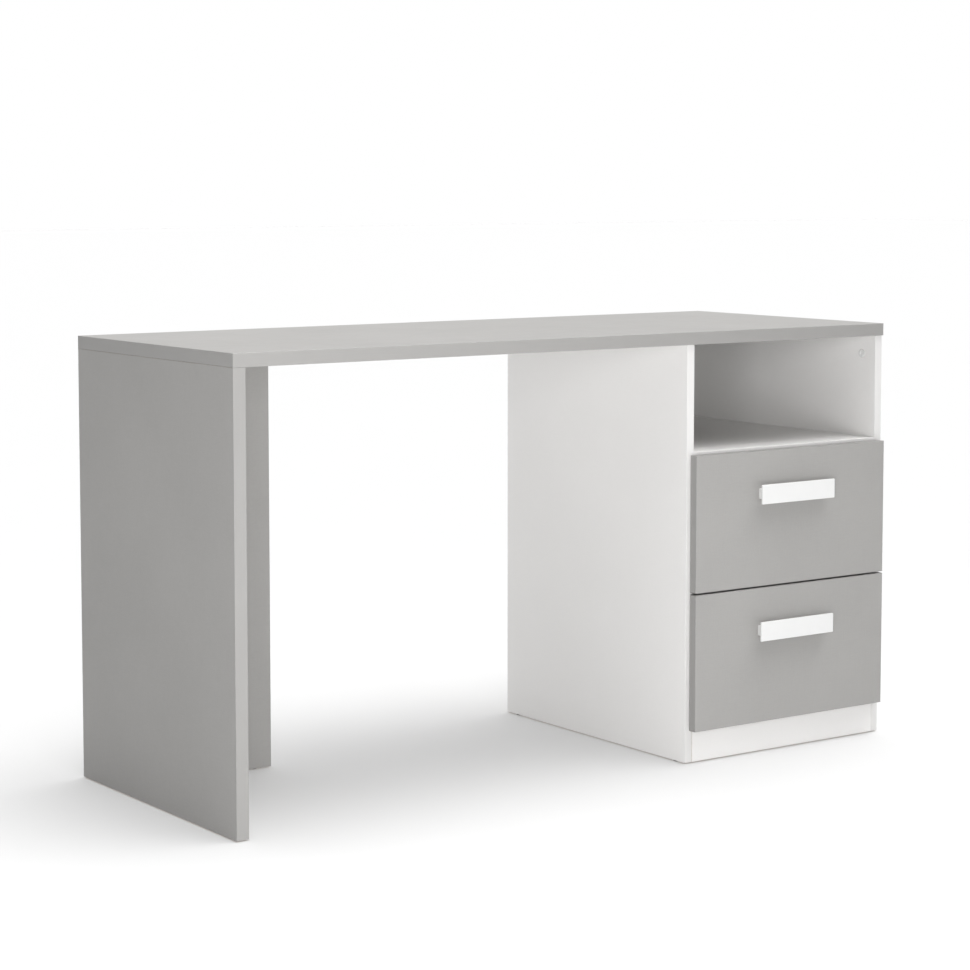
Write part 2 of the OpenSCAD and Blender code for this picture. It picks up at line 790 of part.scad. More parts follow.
module upper_drawer_roller_pins() {
    drawer_roller_pins(0);
}

module upper_drawer_cams() {
    drawer_cams(0);
}

module upper_drawer_cam_bolts() {
    drawer_cam_bolts(0);
}

module rear_roller_upper_left() {
    roller(y_rear_roller, rail_z[0], false);
}

module rear_roller_upper_right() {
    roller(y_rear_roller, rail_z[0], true);
}

module lower_drawer_front() {
    drawer_front(1);
}

module lower_drawer_front_bands() {
    drawer_front_bands(1);
}

module lower_drawer_left_side() {
    drawer_side(1, false);
}

module lower_drawer_right_side() {
    drawer_side(1, true);
}

module lower_drawer_back() {
    drawer_back(1);
}

module lower_drawer_bottom() {
    drawer_bottom(1);
}

module lower_drawer_handle() {
    drawer_handle(1);
}

module lower_drawer_handle_screws() {
    drawer_handle_screws(1);
}

module lower_drawer_left_rail() {
    drawer_rail(1, false);
}

module lower_drawer_right_rail() {
    drawer_rail(1, true);
}

module lower_drawer_rail_screws() {
    drawer_rail_screws(1);
}

module lower_drawer_roller_pins() {
    drawer_roller_pins(1);
}

module lower_drawer_cams() {
    drawer_cams(1);
}

module lower_drawer_cam_bolts() {
    drawer_cam_bolts(1);
}

module rear_roller_lower_left() {
    roller(y_rear_roller, rail_z[1], false);
}

module rear_roller_lower_right() {
    roller(y_rear_roller, rail_z[1], true);
}

desktop();
desktop_edge_bands();
leg_panel();
leg_edge_bands();
stiffener_panel();
pedestal_left_side();
pedestal_right_side();
pedestal_edge_bands();
pedestal_shelf();
pedestal_bottom();
plinth_front();
plinth_rear();
back_panel();
cam_housings();
cam_bolts();
cam_caps();
dowels();
glides();
runner_upper_left();
runner_upper_right();
runner_lower_left();
runner_lower_right();
runner_screws();
runner_pins();
front_roller_upper_left();
front_roller_upper_right();
front_roller_lower_left();
front_roller_lower_right();
upper_drawer_front();
upper_drawer_front_bands();
upper_drawer_left_side();
upper_drawer_right_side();
upper_drawer_back();
upper_drawer_bottom();
upper_drawer_handle();
upper_drawer_handle_screws();
upper_drawer_left_rail();
upper_drawer_right_rail();
upper_drawer_rail_screws();
upper_drawer_roller_pins();
upper_drawer_cams();
upper_drawer_cam_bolts();
rear_roller_upper_left();
rear_roller_upper_right();
lower_drawer_front();
lower_drawer_front_bands();
lower_drawer_left_side();
lower_drawer_right_side();
lower_drawer_back();
lower_drawer_bottom();
lower_drawer_handle();
lower_drawer_handle_screws();
lower_drawer_left_rail();
lower_drawer_right_rail();
lower_drawer_rail_screws();
lower_drawer_roller_pins();
lower_drawer_cams();
lower_drawer_cam_bolts();
rear_roller_lower_left();
rear_roller_lower_right();
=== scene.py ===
"""The looks of a writing desk: boards and edge bands, handles, drawer boxes, runners and fittings.
Metres. +Z is up, -Y is the sitter's side, and the floor is z = 0."""

import functools
import json
import math

import bmesh
import bpy
from bpy.props import FloatProperty, FloatVectorProperty, PointerProperty
from mathutils import Matrix, Vector


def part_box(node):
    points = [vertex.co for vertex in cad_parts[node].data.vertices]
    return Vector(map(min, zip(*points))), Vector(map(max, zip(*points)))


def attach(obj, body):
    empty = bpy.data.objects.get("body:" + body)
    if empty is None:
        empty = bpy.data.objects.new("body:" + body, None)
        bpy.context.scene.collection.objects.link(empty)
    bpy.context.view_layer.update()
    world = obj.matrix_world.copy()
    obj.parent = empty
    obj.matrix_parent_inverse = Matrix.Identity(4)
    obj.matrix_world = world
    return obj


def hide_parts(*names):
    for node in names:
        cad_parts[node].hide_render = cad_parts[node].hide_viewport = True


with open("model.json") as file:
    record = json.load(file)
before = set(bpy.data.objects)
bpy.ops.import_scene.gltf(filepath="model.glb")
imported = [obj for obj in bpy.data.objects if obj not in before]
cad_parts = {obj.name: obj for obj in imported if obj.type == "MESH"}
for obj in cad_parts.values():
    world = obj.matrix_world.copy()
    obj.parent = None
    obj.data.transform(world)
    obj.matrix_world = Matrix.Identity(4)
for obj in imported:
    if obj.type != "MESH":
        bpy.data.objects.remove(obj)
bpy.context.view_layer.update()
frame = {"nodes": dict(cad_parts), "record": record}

bl_info = {
    "name": "Writing Desk",
    "version": (1, 0, 0),
    "blender": (4, 5, 0),
    "location": "3D View > Sidebar > Desk",
    "description": "Builds a writing desk's boards, bands, handles, drawers, runners and fittings",
    "category": "Add Mesh",
}

X = Vector((1, 0, 0))
Y = Vector((0, 1, 0))
Z = Vector((0, 0, 1))
MM = 0.001
NEAR = 0.01 * MM
BODY_OF = {node: body for body, nodes in frame["record"]["behaviour"]["bodies"].items() for node in nodes}
SLOT_OF = {part["node"]: part["material_slot"] for part in frame["record"]["subparts"]}
DRAWERS = ("upper", "lower")
HANDS = ("left", "right")


# ---- Sizes and colours that can be set ----

def length(label, text, default):
    return FloatProperty(name=label, description=text, default=default, min=0, unit="LENGTH", precision=5)


def colour(label, text, default):
    return FloatVectorProperty(name=label, description=text, default=default, subtype="COLOR", min=0, max=1)


def number(label, text, default, **kind):
    return FloatProperty(name=label, description=text, default=default, **kind)


def vector(label, text, default, subtype):
    return FloatVectorProperty(name=label, description=text, default=default, subtype=subtype)


class DeskSizes(bpy.types.PropertyGroup):
    """Sizes of the small shapes that the frame leaves plain"""

    board_edge: length("Board edge", "Softening of a board's own edges", 0.25 * MM)
    band_edge: length("Band edge", "Rounding of an edge band's outer corners", 0.9 * MM)
    foil_edge: length("Foil edge", "Rounding of a drawer side's foiled top edge", 1.6 * MM)
    cut_gap: length("Cut gap", "Clearance round what is let into a board", 0.1 * MM)
    handle_corner: length("Handle corner", "Rounding of the handle plate's corners from the front", 1.2 * MM)
    handle_edge: length("Handle edge", "Rounding of the handle's edges", 0.7 * MM)
    gauge: length("Sheet gauge", "Thickness of the runners' sheet steel", 1.2 * MM)
    bend: length("Bend", "Radius at the middle of a bend in the sheet steel", 1.5 * MM)
    slot_pitch: length("Slot pitch", "Distance between the screw slots of a channel", 32 * MM)
    recess: length("Recess", "Depth of a screw's cross recess", 1.0 * MM)


class DeskColours(bpy.types.PropertyGroup):
    """Colours of the finishes"""

    grey: colour("Grey", "Grey melamine faces", (0.36, 0.353, 0.343))
    # A little darker than the grey faces: painted shade on the edge bands, which take more light than the
    # faces
    grey_band: colour("Grey band", "Edge bands of the grey boards", (0.33, 0.324, 0.316))
    white: colour("White", "White melamine faces", (0.872, 0.862, 0.85))
    # Darker than the white faces: painted shade on the edge bands, as with the grey ones
    white_band: colour("White band", "Edge bands of the white boards", (0.755, 0.747, 0.737))
    chip: colour("Chip", "Particleboard core where it is bare", (0.42, 0.30, 0.18))
    sheet: colour("Sheet", "Lacquered hardboard sheets", (0.850, 0.843, 0.828))
    plastic: colour("Plastic", "White mouldings", (0.79, 0.79, 0.785))
    glide: colour("Glide", "Glides under the boards", (0.09, 0.09, 0.092))
    nylon: colour("Nylon", "Rollers", (0.80, 0.79, 0.75))
    enamel: colour("Enamel", "Powder coat of the runners", (0.79, 0.79, 0.775))
    steel: colour("Steel", "Zinc-plated screws, bolts and pins", (0.60, 0.61, 0.63))
    zinc: colour("Zinc", "Die-cast cam housings", (0.47, 0.48, 0.50))
    beech: colour("Beech", "Wooden dowels", (0.60, 0.40, 0.22))


class DeskStage(bpy.types.PropertyGroup):
    """Light, floor and camera"""

    floor: colour("Floor", "Studio floor", (0.51, 0.51, 0.51))
    floor_glow: number("Floor glow", "Light that the floor gives off itself", 0.22)
    low_sky: number("Low sky", "Brightness of the studio near the floor", 0.02)
    high_sky: number("High sky", "Brightness added overhead", 7.7)
    sky_fall: number("Sky fall", "How fast the light falls off from overhead", 9.0)
    sky_lean: vector("Sky lean", "Way to the brightest part of the sky", (0.22, -0.1, 1.0), "DIRECTION")
    rear_sky: number("Rear sky", "Brightness added behind the desk", 0.6)
    key_power: number("Key", "Power of the front softbox", 30, unit="POWER")
    key_size: length("Key size", "Side of the front softbox", 1.2)
    key_place: vector("Key place", "Middle of the front softbox", (-1.15, -2.0, 0.65), "TRANSLATION")
    key_turn: number("Key turn", "Turn of the front softbox to the right of +Y", 0.66, subtype="ANGLE")
    lens: number("Lens", "Focal length on a 36 mm sensor, in mm", 94.22)
    eye: vector("Eye", "Place of the camera", (-2.5696, -3.5746, 1.0165), "TRANSLATION")
    yaw: number("Yaw", "Turn of the camera to the right of +Y", 0.61709, subtype="ANGLE")
    pitch: number("Pitch", "Tilt of the camera below the horizon", 0.0835, subtype="ANGLE")
    rise: number("Rise", "Upward shift of the lens, as a share of the picture", -0.10)


# ---- Shader nodes ----

class Value:
    """A number that a node gives. Arithmetic on it adds Math nodes."""

    def __init__(self, nodes, socket):
        self.nodes = nodes
        self.socket = socket

    def math(self, operation, other, swapped=False):
        terms = (other, self) if swapped else (self, other)
        return self.nodes.node("ShaderNodeMath", {"operation": operation}, dict(enumerate(terms)))

    def __add__(self, other):
        return self.math("ADD", other)

    __radd__ = __add__

    def __sub__(self, other):
        return self.math("SUBTRACT", other)

    def __rsub__(self, other):
        return self.math("SUBTRACT", other, swapped=True)

    def __mul__(self, other):
        return self.math("MULTIPLY", other)

    __rmul__ = __mul__

    def __pow__(self, other):
        return self.math("POWER", other)


class Nodes:
    """Adds nodes to one node tree."""

    def __init__(self, tree):
        self.tree = tree
        tree.nodes.clear()

    def node(self, kind, settings, inputs, output=0):
        """A node of that kind: its settings first, then its sockets by name or number. Gives one output."""
        made = self.tree.nodes.new(kind)
        for name, setting in settings.items():
            if name == "stops":
                self.set_stops(made.color_ramp, setting)
            else:
                setattr(made, name, setting)
        for key, given in inputs.items():
            socket = self.find(made.inputs, key)
            if isinstance(given, Value):
                self.tree.links.new(given.socket, socket)
            else:
                socket.default_value = given
        return Value(self, self.find(made.outputs, output)) if len(made.outputs) else None

    @staticmethod
    def find(sockets, key):
        if isinstance(key, int):
            return sockets[key]
        return next(s for s in sockets if key in (s.identifier, s.name))

    @staticmethod
    def set_stops(ramp, stops):
        while len(ramp.elements) < len(stops):
            ramp.elements.new(0.5)
        for element, (position, level) in zip(ramp.elements, stops):
            element.position = position
            element.color = (level, level, level, 1)

    def place(self):
        """The point on the piece, in its own metres."""
        return self.node("ShaderNodeTexCoord", {}, {}, "Object")

    def stretched(self, counts):
        """The point, scaled by its own count per metre along each axis."""
        return self.node("ShaderNodeVectorMath", {"operation": "MULTIPLY"},
                         {0: self.place(), 1: tuple(counts)})

    def noise(self, counts, detail=2.0, roughness=0.5, warp=0.0):
        """Smooth noise from 0 to 1 with that many grains per metre along X, Y and Z."""
        return self.node("ShaderNodeTexNoise", {"noise_dimensions": "3D"}, {
            "Vector": self.stretched(counts), "Scale": 1.0, "Detail": detail, "Roughness": roughness,
            "Distortion": warp}, "Fac")

    def cells(self, counts, output):
        """A pattern of cells, with that many per metre along X, Y and Z."""
        return self.node("ShaderNodeTexVoronoi", {}, {"Vector": self.stretched(counts), "Scale": 1.0}, output)

    def dot(self, vector, way):
        """How far a vector goes in a fixed way."""
        return self.node("ShaderNodeVectorMath", {"operation": "DOT_PRODUCT"},
                         {0: vector, 1: tuple(way)}, "Value")

    def ramp(self, value, stops):
        return self.node("ShaderNodeValToRGB", {"stops": stops}, {"Fac": value}, "Color")

    def mix(self, share, first, second):
        """Goes from the first colour at share 0 to the second at share 1."""
        return self.node("ShaderNodeMix", {"data_type": "RGBA"}, {
            "Factor_Float": share, "A_Color": first, "B_Color": second}, "Result_Color")

    def tones(self, share, tint, first, second):
        """Goes from the first strength of a tint to the second."""
        return self.mix(share, shade(tint, first), shade(tint, second))

    def bump(self, height, depth):
        """A normal for a surface whose height goes from 0 to 1 over that depth in metres."""
        inputs = {"Height": height, "Distance": depth, "Strength": 1.0}
        return self.node("ShaderNodeBump", {}, inputs, "Normal")


def shade(tint, factor):
    """A colour made lighter or darker, with full alpha."""
    return tuple(min(1.0, c * factor) for c in tint[:3]) + (1.0,)


def even(count):
    return (count, count, count)


def threads(n, fast, slow):
    """Fine grain that runs along all three axes, so that every face of a board shows a weave."""
    lines = [n.noise([slow if i == axis else fast for i in range(3)], detail=1.0) for axis in range(3)]
    return (lines[0] + lines[1] + lines[2]) * (1 / 3)


def finish(name, build):
    """The material of that name, built by build(nodes, colours) the first time it is asked for."""
    if name in bpy.data.materials:
        return bpy.data.materials[name]
    material = bpy.data.materials.new(name)
    material.use_nodes = True
    n = Nodes(material.node_tree)
    sockets = build(n, bpy.context.scene.desk_colours)
    shader = n.node("ShaderNodeBsdfPrincipled", {}, sockets, "BSDF")
    n.node("ShaderNodeOutputMaterial", {}, {"Surface": shader})
    return material


def melamine(tint_name, contrast, emboss):
    """Matt decor paper with a fine woven emboss and a very faint cloudiness."""
    def build(n, colours):
        tint = getattr(colours, tint_name)
        weave = threads(n, fast=1300, slow=60)
        cloud = n.noise(even(5.5), detail=3.0)
        fleck = n.noise(even(420), detail=2.0, roughness=0.7)
        tone = weave * 0.45 + cloud * 0.3 + fleck * 0.25
        rough = n.noise(even(38), detail=3.0)
        return {
            "Base Color": n.tones(n.ramp(tone, [(0.36, 0), (0.64, 1)]), tint, 1 - contrast, 1 + contrast),
            "Roughness": 0.5 + rough * 0.12 - weave * 0.06,
            "Normal": n.bump(weave * 0.8 + fleck * 0.2, emboss),
            "IOR": 1.5}
    return build


def edging(tint_name, axis):
    """Plastic edge band: fine drawn lines along its length."""
    def build(n, colours):
        # The band tint is set darker than its board's faces: painted shade
        tint = getattr(colours, tint_name)
        drawn = n.noise([14 if i == axis else 1500 for i in range(3)], detail=2.0)
        cloud = n.noise(even(22), detail=2.0)
        return {
            "Base Color": n.tones(drawn * 0.6 + cloud * 0.4, tint, 0.95, 1.05),
            "Roughness": 0.40 + cloud * 0.10 + drawn * 0.06,
            "Normal": n.bump(drawn, 0.03 * MM),
            "IOR": 1.5}
    return build


def particleboard(n, colours):
    """Bare core of a board: pressed chips of several tones with small voids, which are painted dark as shade.
    """
    tint = colours.chip
    chips = n.cells((520, 520, 900), "Distance")
    pattern = n.cells((300, 300, 520), "Color")
    grain = n.noise(even(900), detail=4.0, roughness=0.65)
    voids_and_shade = n.ramp(n.noise(even(260), detail=3.0), [(0.36, 0), (0.44, 1)])
    blended = n.mix(0.45, n.tones(pattern, tint, 0.72, 1.35), n.tones(grain, tint, 0.62, 1.28))
    return {
        # The voids take a dark tint: painted shade inside the pores
        "Base Color": n.mix(voids_and_shade, shade(tint, 0.32), blended),
        "Roughness": 0.82 + grain * 0.14,
        "Normal": n.bump(voids_and_shade * 0.6 + chips * 0.3 + grain * 0.1, 0.25 * MM)}


def hardboard(n, colours):
    """White lacquer on hardboard, with the faint mesh that the press leaves."""
    tint = colours.sheet
    mesh = threads(n, fast=850, slow=850)
    cloud = n.noise(even(9), detail=3.0)
    return {
        "Base Color": n.tones(n.ramp(mesh * 0.5 + cloud * 0.5, [(0.3, 0), (0.7, 1)]), tint, 0.965, 1.02),
        "Roughness": 0.50 + cloud * 0.12,
        "Normal": n.bump(mesh, 0.03 * MM)}


def moulding(tint_name, gloss, texture):
    """Moulded plastic with a fine sparked surface."""
    def build(n, colours):
        tint = getattr(colours, tint_name)
        sparks = n.noise(even(2600), detail=2.0, roughness=0.6)
        flow = n.noise(even(30), detail=2.0, warp=0.6)
        return {
            "Base Color": n.tones(flow, tint, 0.98, 1.015),
            "Roughness": gloss + sparks * 0.08 + flow * 0.06,
            "Normal": n.bump(sparks, texture)}
    return build


def enamel(n, colours):
    """Powder coat: an orange-peel surface with a soft gloss."""
    tint = colours.enamel
    peel = n.noise(even(700), detail=2.0)
    cloud = n.noise(even(40), detail=2.0)
    return {
        "Base Color": n.tones(cloud, tint, 0.98, 1.015),
        "Roughness": 0.28 + peel * 0.12,
        "Normal": n.bump(peel, 0.03 * MM)}


def plated(tint_name, dull, pits):
    """Plated or cast metal: cloudy tone, uneven polish and fine pits."""
    def build(n, colours):
        tint = getattr(colours, tint_name)
        cloud = n.noise(even(420), detail=3.0, warp=0.8)
        grain = n.noise(even(2400), detail=3.0, roughness=0.6)
        return {
            "Base Color": n.tones(cloud, tint, 0.84, 1.16),
            "Metallic": 0.94 + cloud * 0.06,
            "Roughness": dull + cloud * 0.14 + grain * 0.08,
            "Normal": n.bump(grain, pits)}
    return build


def dowel_wood(n, colours):
    """Beech: short dark flecks on a pinkish straw colour."""
    tint = colours.beech
    fibre = n.noise((900, 900, 60), detail=3.0)
    fleck = n.ramp(n.noise((500, 500, 120), detail=2.0), [(0.58, 0), (0.66, 1)])
    return {
        "Base Color": n.mix(fleck * 0.5, n.tones(fibre, tint, 0.86, 1.1), shade(tint, 0.55)),
        "Roughness": 0.58 + fibre * 0.15,
        "Normal": n.bump(fibre, 0.05 * MM)}


AXIS_NAME = "xyz"
FINISHES = {
    "grey_board": melamine("grey", contrast=0.060, emboss=0.045 * MM),
    "white_board": melamine("white", contrast=0.022, emboss=0.030 * MM),
    "white_sheet": hardboard,
    "core": particleboard,
    "handle_plastic": moulding("plastic", gloss=0.30, texture=0.006 * MM),
    "cap_plastic": moulding("plastic", gloss=0.34, texture=0.004 * MM),
    "glide_plastic": moulding("glide", gloss=0.45, texture=0.010 * MM),
    "roller_nylon": moulding("nylon", gloss=0.36, texture=0.010 * MM),
    "runner_enamel": enamel,
    "steel": plated("steel", dull=0.20, pits=0.006 * MM),
    "zinc": plated("zinc", dull=0.34, pits=0.020 * MM),
    "beech": dowel_wood,
}
for side in ("grey", "white"):
    for number, letter in enumerate(AXIS_NAME):
        FINISHES[f"{side}_edging_{letter}"] = edging(f"{side}_band", number)


def get_finish(name):
    return finish("desk_" + name, FINISHES[name])


# ---- Reading the frame ----

def centre(box):
    return (box[0] + box[1]) / 2


@functools.cache
def solids(node):
    """The boxes of the separate solids of one node, in a fixed order."""
    bm = bmesh.new()
    bm.from_mesh(frame["nodes"][node].data)
    bmesh.ops.remove_doubles(bm, verts=bm.verts, dist=0.001 * MM)
    left = set(bm.verts)
    boxes = []
    for start in bm.verts:
        if start not in left:
            continue
        left.discard(start)
        group = [start]
        for vert in group:
            for edge in vert.link_edges:
                other = edge.other_vert(vert)
                if other in left:
                    left.discard(other)
                    group.append(other)
        points = [v.co for v in group]
        boxes.append(tuple(Vector(pick(p[i] for p in points) for i in range(3)) for pick in (min, max)))
    bm.free()
    return sorted(boxes, key=lambda box: [round(c, 5) for c in centre(box)])


def end_of(box, axis, sign, inset=0.0):
    """The middle of the face at a box's high end along an axis, or its low end where sign is -1."""
    point = centre(box)
    point[axis] = box[1 if sign > 0 else 0][axis] - sign * inset
    return point


def width_of(box, axis):
    return box[1][axis] - box[0][axis]


def side_of(box):
    """1 for a box at the left of the pedestal's middle and -1 for one at its right."""
    return 1 if centre(box).x < centre(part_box("pedestal_shelf")).x else -1


def long_axis(box):
    """Number of the axis along which a box is longest."""
    size = box[1] - box[0]
    return max(range(3), key=lambda i: size[i])


def odd_axis(box):
    """Number of the axis of a round solid, the one whose size differs from the other two."""
    size = box[1] - box[0]
    gaps = [abs(size[(i + 1) % 3] - size[(i + 2) % 3]) for i in range(3)]
    return min(range(3), key=lambda i: gaps[i])


def unit(axis, sign=1):
    return Vector([sign if i == axis else 0 for i in range(3)])


class Seat:
    """A round fitting let into a board: the middle of its face, the way it looks, its radius and depth."""

    def __init__(self, box, board):
        self.axis = odd_axis(box)
        size = box[1] - box[0]
        self.radius = size[(self.axis + 1) % 3] / 2
        self.depth = size[self.axis]
        high = abs(box[1][self.axis] - board[1][self.axis]) < abs(box[0][self.axis] - board[0][self.axis])
        self.way = unit(self.axis, 1 if high else -1)
        self.point = end_of(box, self.axis, 1 if high else -1)


def inside(box, board):
    slack = 0.05 * MM
    return all(board[0][i] - slack <= box[0][i] and box[1][i] <= board[1][i] + slack for i in range(3))


@functools.cache
def seats(cams_node, board_nodes):
    """The cams of one node with the board that each is let into."""
    found = []
    for box in solids(cams_node):
        for node in board_nodes:
            if inside(box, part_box(node)):
                found.append((node, Seat(box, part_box(node))))
                break
    return found


# ---- Mesh work ----

def block(low, high, width=0.0, steps=2, chosen=None):
    """A box with the chosen edges rounded; chosen(middle of the edge, its direction) says which."""
    bm = bmesh.new()
    size = high - low
    spread = Matrix.Diagonal((*size, 1))
    bmesh.ops.create_cube(bm, size=1, matrix=Matrix.Translation((low + high) / 2) @ spread)
    if width:
        round_edges(bm, width, steps, chosen)
    return bm


def round_edges(bm, width, steps=2, chosen=None):
    edges = []
    for edge in bm.edges:
        middle = (edge.verts[0].co + edge.verts[1].co) / 2
        if chosen is None or chosen(middle, (edge.verts[1].co - edge.verts[0].co).normalized()):
            edges.append(edge)
    bmesh.ops.bevel(bm, geom=edges, offset=width, segments=steps, profile=0.5, affect="EDGES")


def turned(profile, turns=40, closed=False):
    """A round piece about Z from (radius, height) points; closed joins the last point to the first."""
    bm = bmesh.new()
    rings = []
    for radius, height in profile:
        if radius == 0:
            rings.append([bm.verts.new((0, 0, height))])
            continue
        angles = [2 * math.pi * i / turns for i in range(turns)]
        rings.append([bm.verts.new((radius * math.cos(a), radius * math.sin(a), height)) for a in angles])
    pairs = list(zip(rings, rings[1:])) + ([(rings[-1], rings[0])] if closed else [])
    for first, second in pairs:
        for i in range(turns):
            j = (i + 1) % turns
            corners = [first[i % len(first)], first[j % len(first)], second[j % len(second)],
                       second[i % len(second)]]
            corners = [c for k, c in enumerate(corners) if c not in corners[:k]]
            if len(corners) > 2:
                bm.faces.new(corners)
    bmesh.ops.recalc_face_normals(bm, faces=bm.faces)
    return bm


def arc(middle, radius, start, end, steps):
    """Points of an arc as (radius, height), with angles in degrees."""
    angles = [math.radians(start + (end - start) * i / steps) for i in range(steps + 1)]
    return [(middle[0] + radius * math.cos(a), middle[1] + radius * math.sin(a)) for a in angles]


def prism(outline, start, end):
    """A flat outline of (x, z) points drawn out along Y."""
    bm = bmesh.new()
    ends = [[bm.verts.new((x, y, z)) for x, z in outline] for y in (start, end)]
    for ring in ends:
        bm.faces.new(ring)
    for i in range(len(outline)):
        j = (i + 1) % len(outline)
        bm.faces.new((ends[0][i], ends[0][j], ends[1][j], ends[1][i]))
    bmesh.ops.recalc_face_normals(bm, faces=bm.faces)
    return bm


def rounded_path(points, radius, steps=5):
    """A path of flat points with an arc at each inner corner."""
    path = [Vector(points[0])]
    for before, corner, after in zip(points, points[1:], points[2:]):
        back = (Vector(before) - Vector(corner)).normalized()
        ahead = (Vector(after) - Vector(corner)).normalized()
        middle = Vector(corner) + (back + ahead) * radius
        for i in range(steps + 1):
            turn = math.pi / 2 * i / steps
            path.append(middle - ahead * radius * math.cos(turn) - back * radius * math.sin(turn))
    path.append(Vector(points[-1]))
    return path


def strip_outline(path, gauge):
    """Outline of a bent strip of that gauge whose middle follows the path."""
    sides = ([], [])
    for i, point in enumerate(path):
        way = (path[min(i + 1, len(path) - 1)] - path[max(i - 1, 0)]).normalized()
        across = Vector((-way.y, way.x)) * gauge / 2
        sides[0].append(tuple(point + across))
        sides[1].append(tuple(point - across))
    return sides[0] + sides[1][::-1]


def bent_strip(points, radius, gauge, start, end):
    return prism(strip_outline(rounded_path(points, radius), gauge), start, end)


def facing(point, way):
    """Matrix that puts a piece made about Z at a point, with its +Z turned to the given way."""
    return Matrix.Translation(point) @ Z.rotation_difference(way).to_matrix().to_4x4()


def add(target, source, matrix=None, slot=0):
    """Adds one mesh to another and uses it up. Its faces take that material slot."""
    mesh = bpy.data.meshes.new("copy")
    source.to_mesh(mesh)
    source.free()
    if matrix is not None:
        mesh.transform(matrix)
    mesh.polygons.foreach_set("material_index", [slot] * len(mesh.polygons))
    target.from_mesh(mesh)
    bpy.data.meshes.remove(mesh)


def temporary(bm, name):
    mesh = bpy.data.meshes.new(name)
    bm.to_mesh(mesh)
    made = bpy.data.objects.new(name, mesh)
    bpy.context.scene.collection.objects.link(made)
    return made


def carved(bm, cutter, operation="DIFFERENCE"):
    """The mesh with the cutter's shape taken out, or joined to it by "UNION"; both are used up."""
    if not cutter.faces:
        return bm
    body, tool = temporary(bm, "carved"), temporary(cutter, "cutter")
    change = body.modifiers.new("carve", "BOOLEAN")
    change.operation = operation
    change.solver = "EXACT"
    change.object = tool
    result = bmesh.new()
    evaluated = body.evaluated_get(bpy.context.evaluated_depsgraph_get())
    result.from_mesh(evaluated.to_mesh())
    evaluated.to_mesh_clear()
    for made in (body, tool):
        mesh = made.data
        bpy.data.objects.remove(made)
        bpy.data.meshes.remove(mesh)
    bm.free()
    cutter.free()
    if not result.faces:
        raise RuntimeError("carving left nothing")
    return result


SHARP = math.radians(50)


def make(name, bm, nodes, finishes=None):
    """Makes a piece that rides with its nodes' body and hides them; it takes the finishes given, or else the
    one their material slot names.
    """
    nodes = [nodes] if isinstance(nodes, str) else list(nodes)
    bmesh.ops.remove_doubles(bm, verts=bm.verts, dist=0.0005 * MM)
    bmesh.ops.recalc_face_normals(bm, faces=bm.faces)
    for face in bm.faces:
        face.smooth = True
    for edge in bm.edges:
        edge.smooth = len(edge.link_faces) == 2 and edge.calc_face_angle(0) < SHARP
    mesh = bpy.data.meshes.new(name)
    bm.to_mesh(mesh)
    bm.free()
    for material in finishes or [SLOT_OF[nodes[0]]]:
        mesh.materials.append(get_finish(material))
    made = bpy.data.objects.new(name, mesh)
    bpy.context.scene.collection.objects.link(made)
    even_out = made.modifiers.new("Even normals", "WEIGHTED_NORMAL")
    even_out.keep_sharp = True
    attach(made, BODY_OF[nodes[0]])
    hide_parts(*nodes)
    return made


def board(low, high, bare, cutters, sizes):
    """A board with softened edges and its recesses. bare holds the ways in which its core shows."""
    bm = carved(block(low, high, sizes.board_edge, 2), cutters)
    show_core(bm, bare)
    return bm


def band(low, high, way, sizes):
    """An edge band: its outer corners are rounded, its glued face is left square."""
    reach = max(low.dot(way), high.dot(way))
    most = 0.9 * abs((high - low).dot(way))
    return block(low, high, min(sizes.band_edge, most), 3,
                 lambda middle, _: abs(middle.dot(way) - reach) < NEAR)


def cam_recesses(found, node, sizes):
    """Cutters for the cams let into one board."""
    cutters = bmesh.new()
    for owner, seat in found:
        if owner == node:
            radius = seat.radius + sizes.cut_gap
            depth = seat.depth + sizes.cut_gap
            soft = sizes.board_edge
            outline = [(0, -depth), (radius, -depth), (radius, -soft), (radius + 2 * soft, soft), (0, soft)]
            add(cutters, turned(outline), facing(seat.point, seat.way), slot=1)
    return cutters


def grow(box, amount):
    """A box grown on every side."""
    by = Vector(even(amount))
    return box[0] - by, box[1] + by


def add_block(cutters, low, high):
    add(cutters, block(low, high), slot=1)


def cross(width, reach, depth):
    """Cutter for a cross recess, its mouth at z = 0 and narrower at its bottom."""
    cutter = bmesh.new()
    rings = []
    for height, half, arm in ((-depth, width * 0.4, reach * 0.5), (0, width * 0.5, reach),
                              (depth * 0.5, width * 0.55, reach * 1.1)):
        quarter = [(arm, -half), (arm, half), (half, half)]
        turns = [Matrix.Rotation(math.pi / 2 * i, 2) for i in range(4)]
        points = [turn @ Vector(p) for turn in turns for p in quarter]
        rings.append([cutter.verts.new((p.x, p.y, height)) for p in points])
    cutter.faces.new(rings[0])
    cutter.faces.new(rings[-1])
    for lower, upper in zip(rings, rings[1:]):
        for i in range(len(lower)):
            j = (i + 1) % len(lower)
            cutter.faces.new((lower[i], lower[j], upper[j], upper[i]))
    bmesh.ops.recalc_face_normals(cutter, faces=cutter.faces)
    return cutter


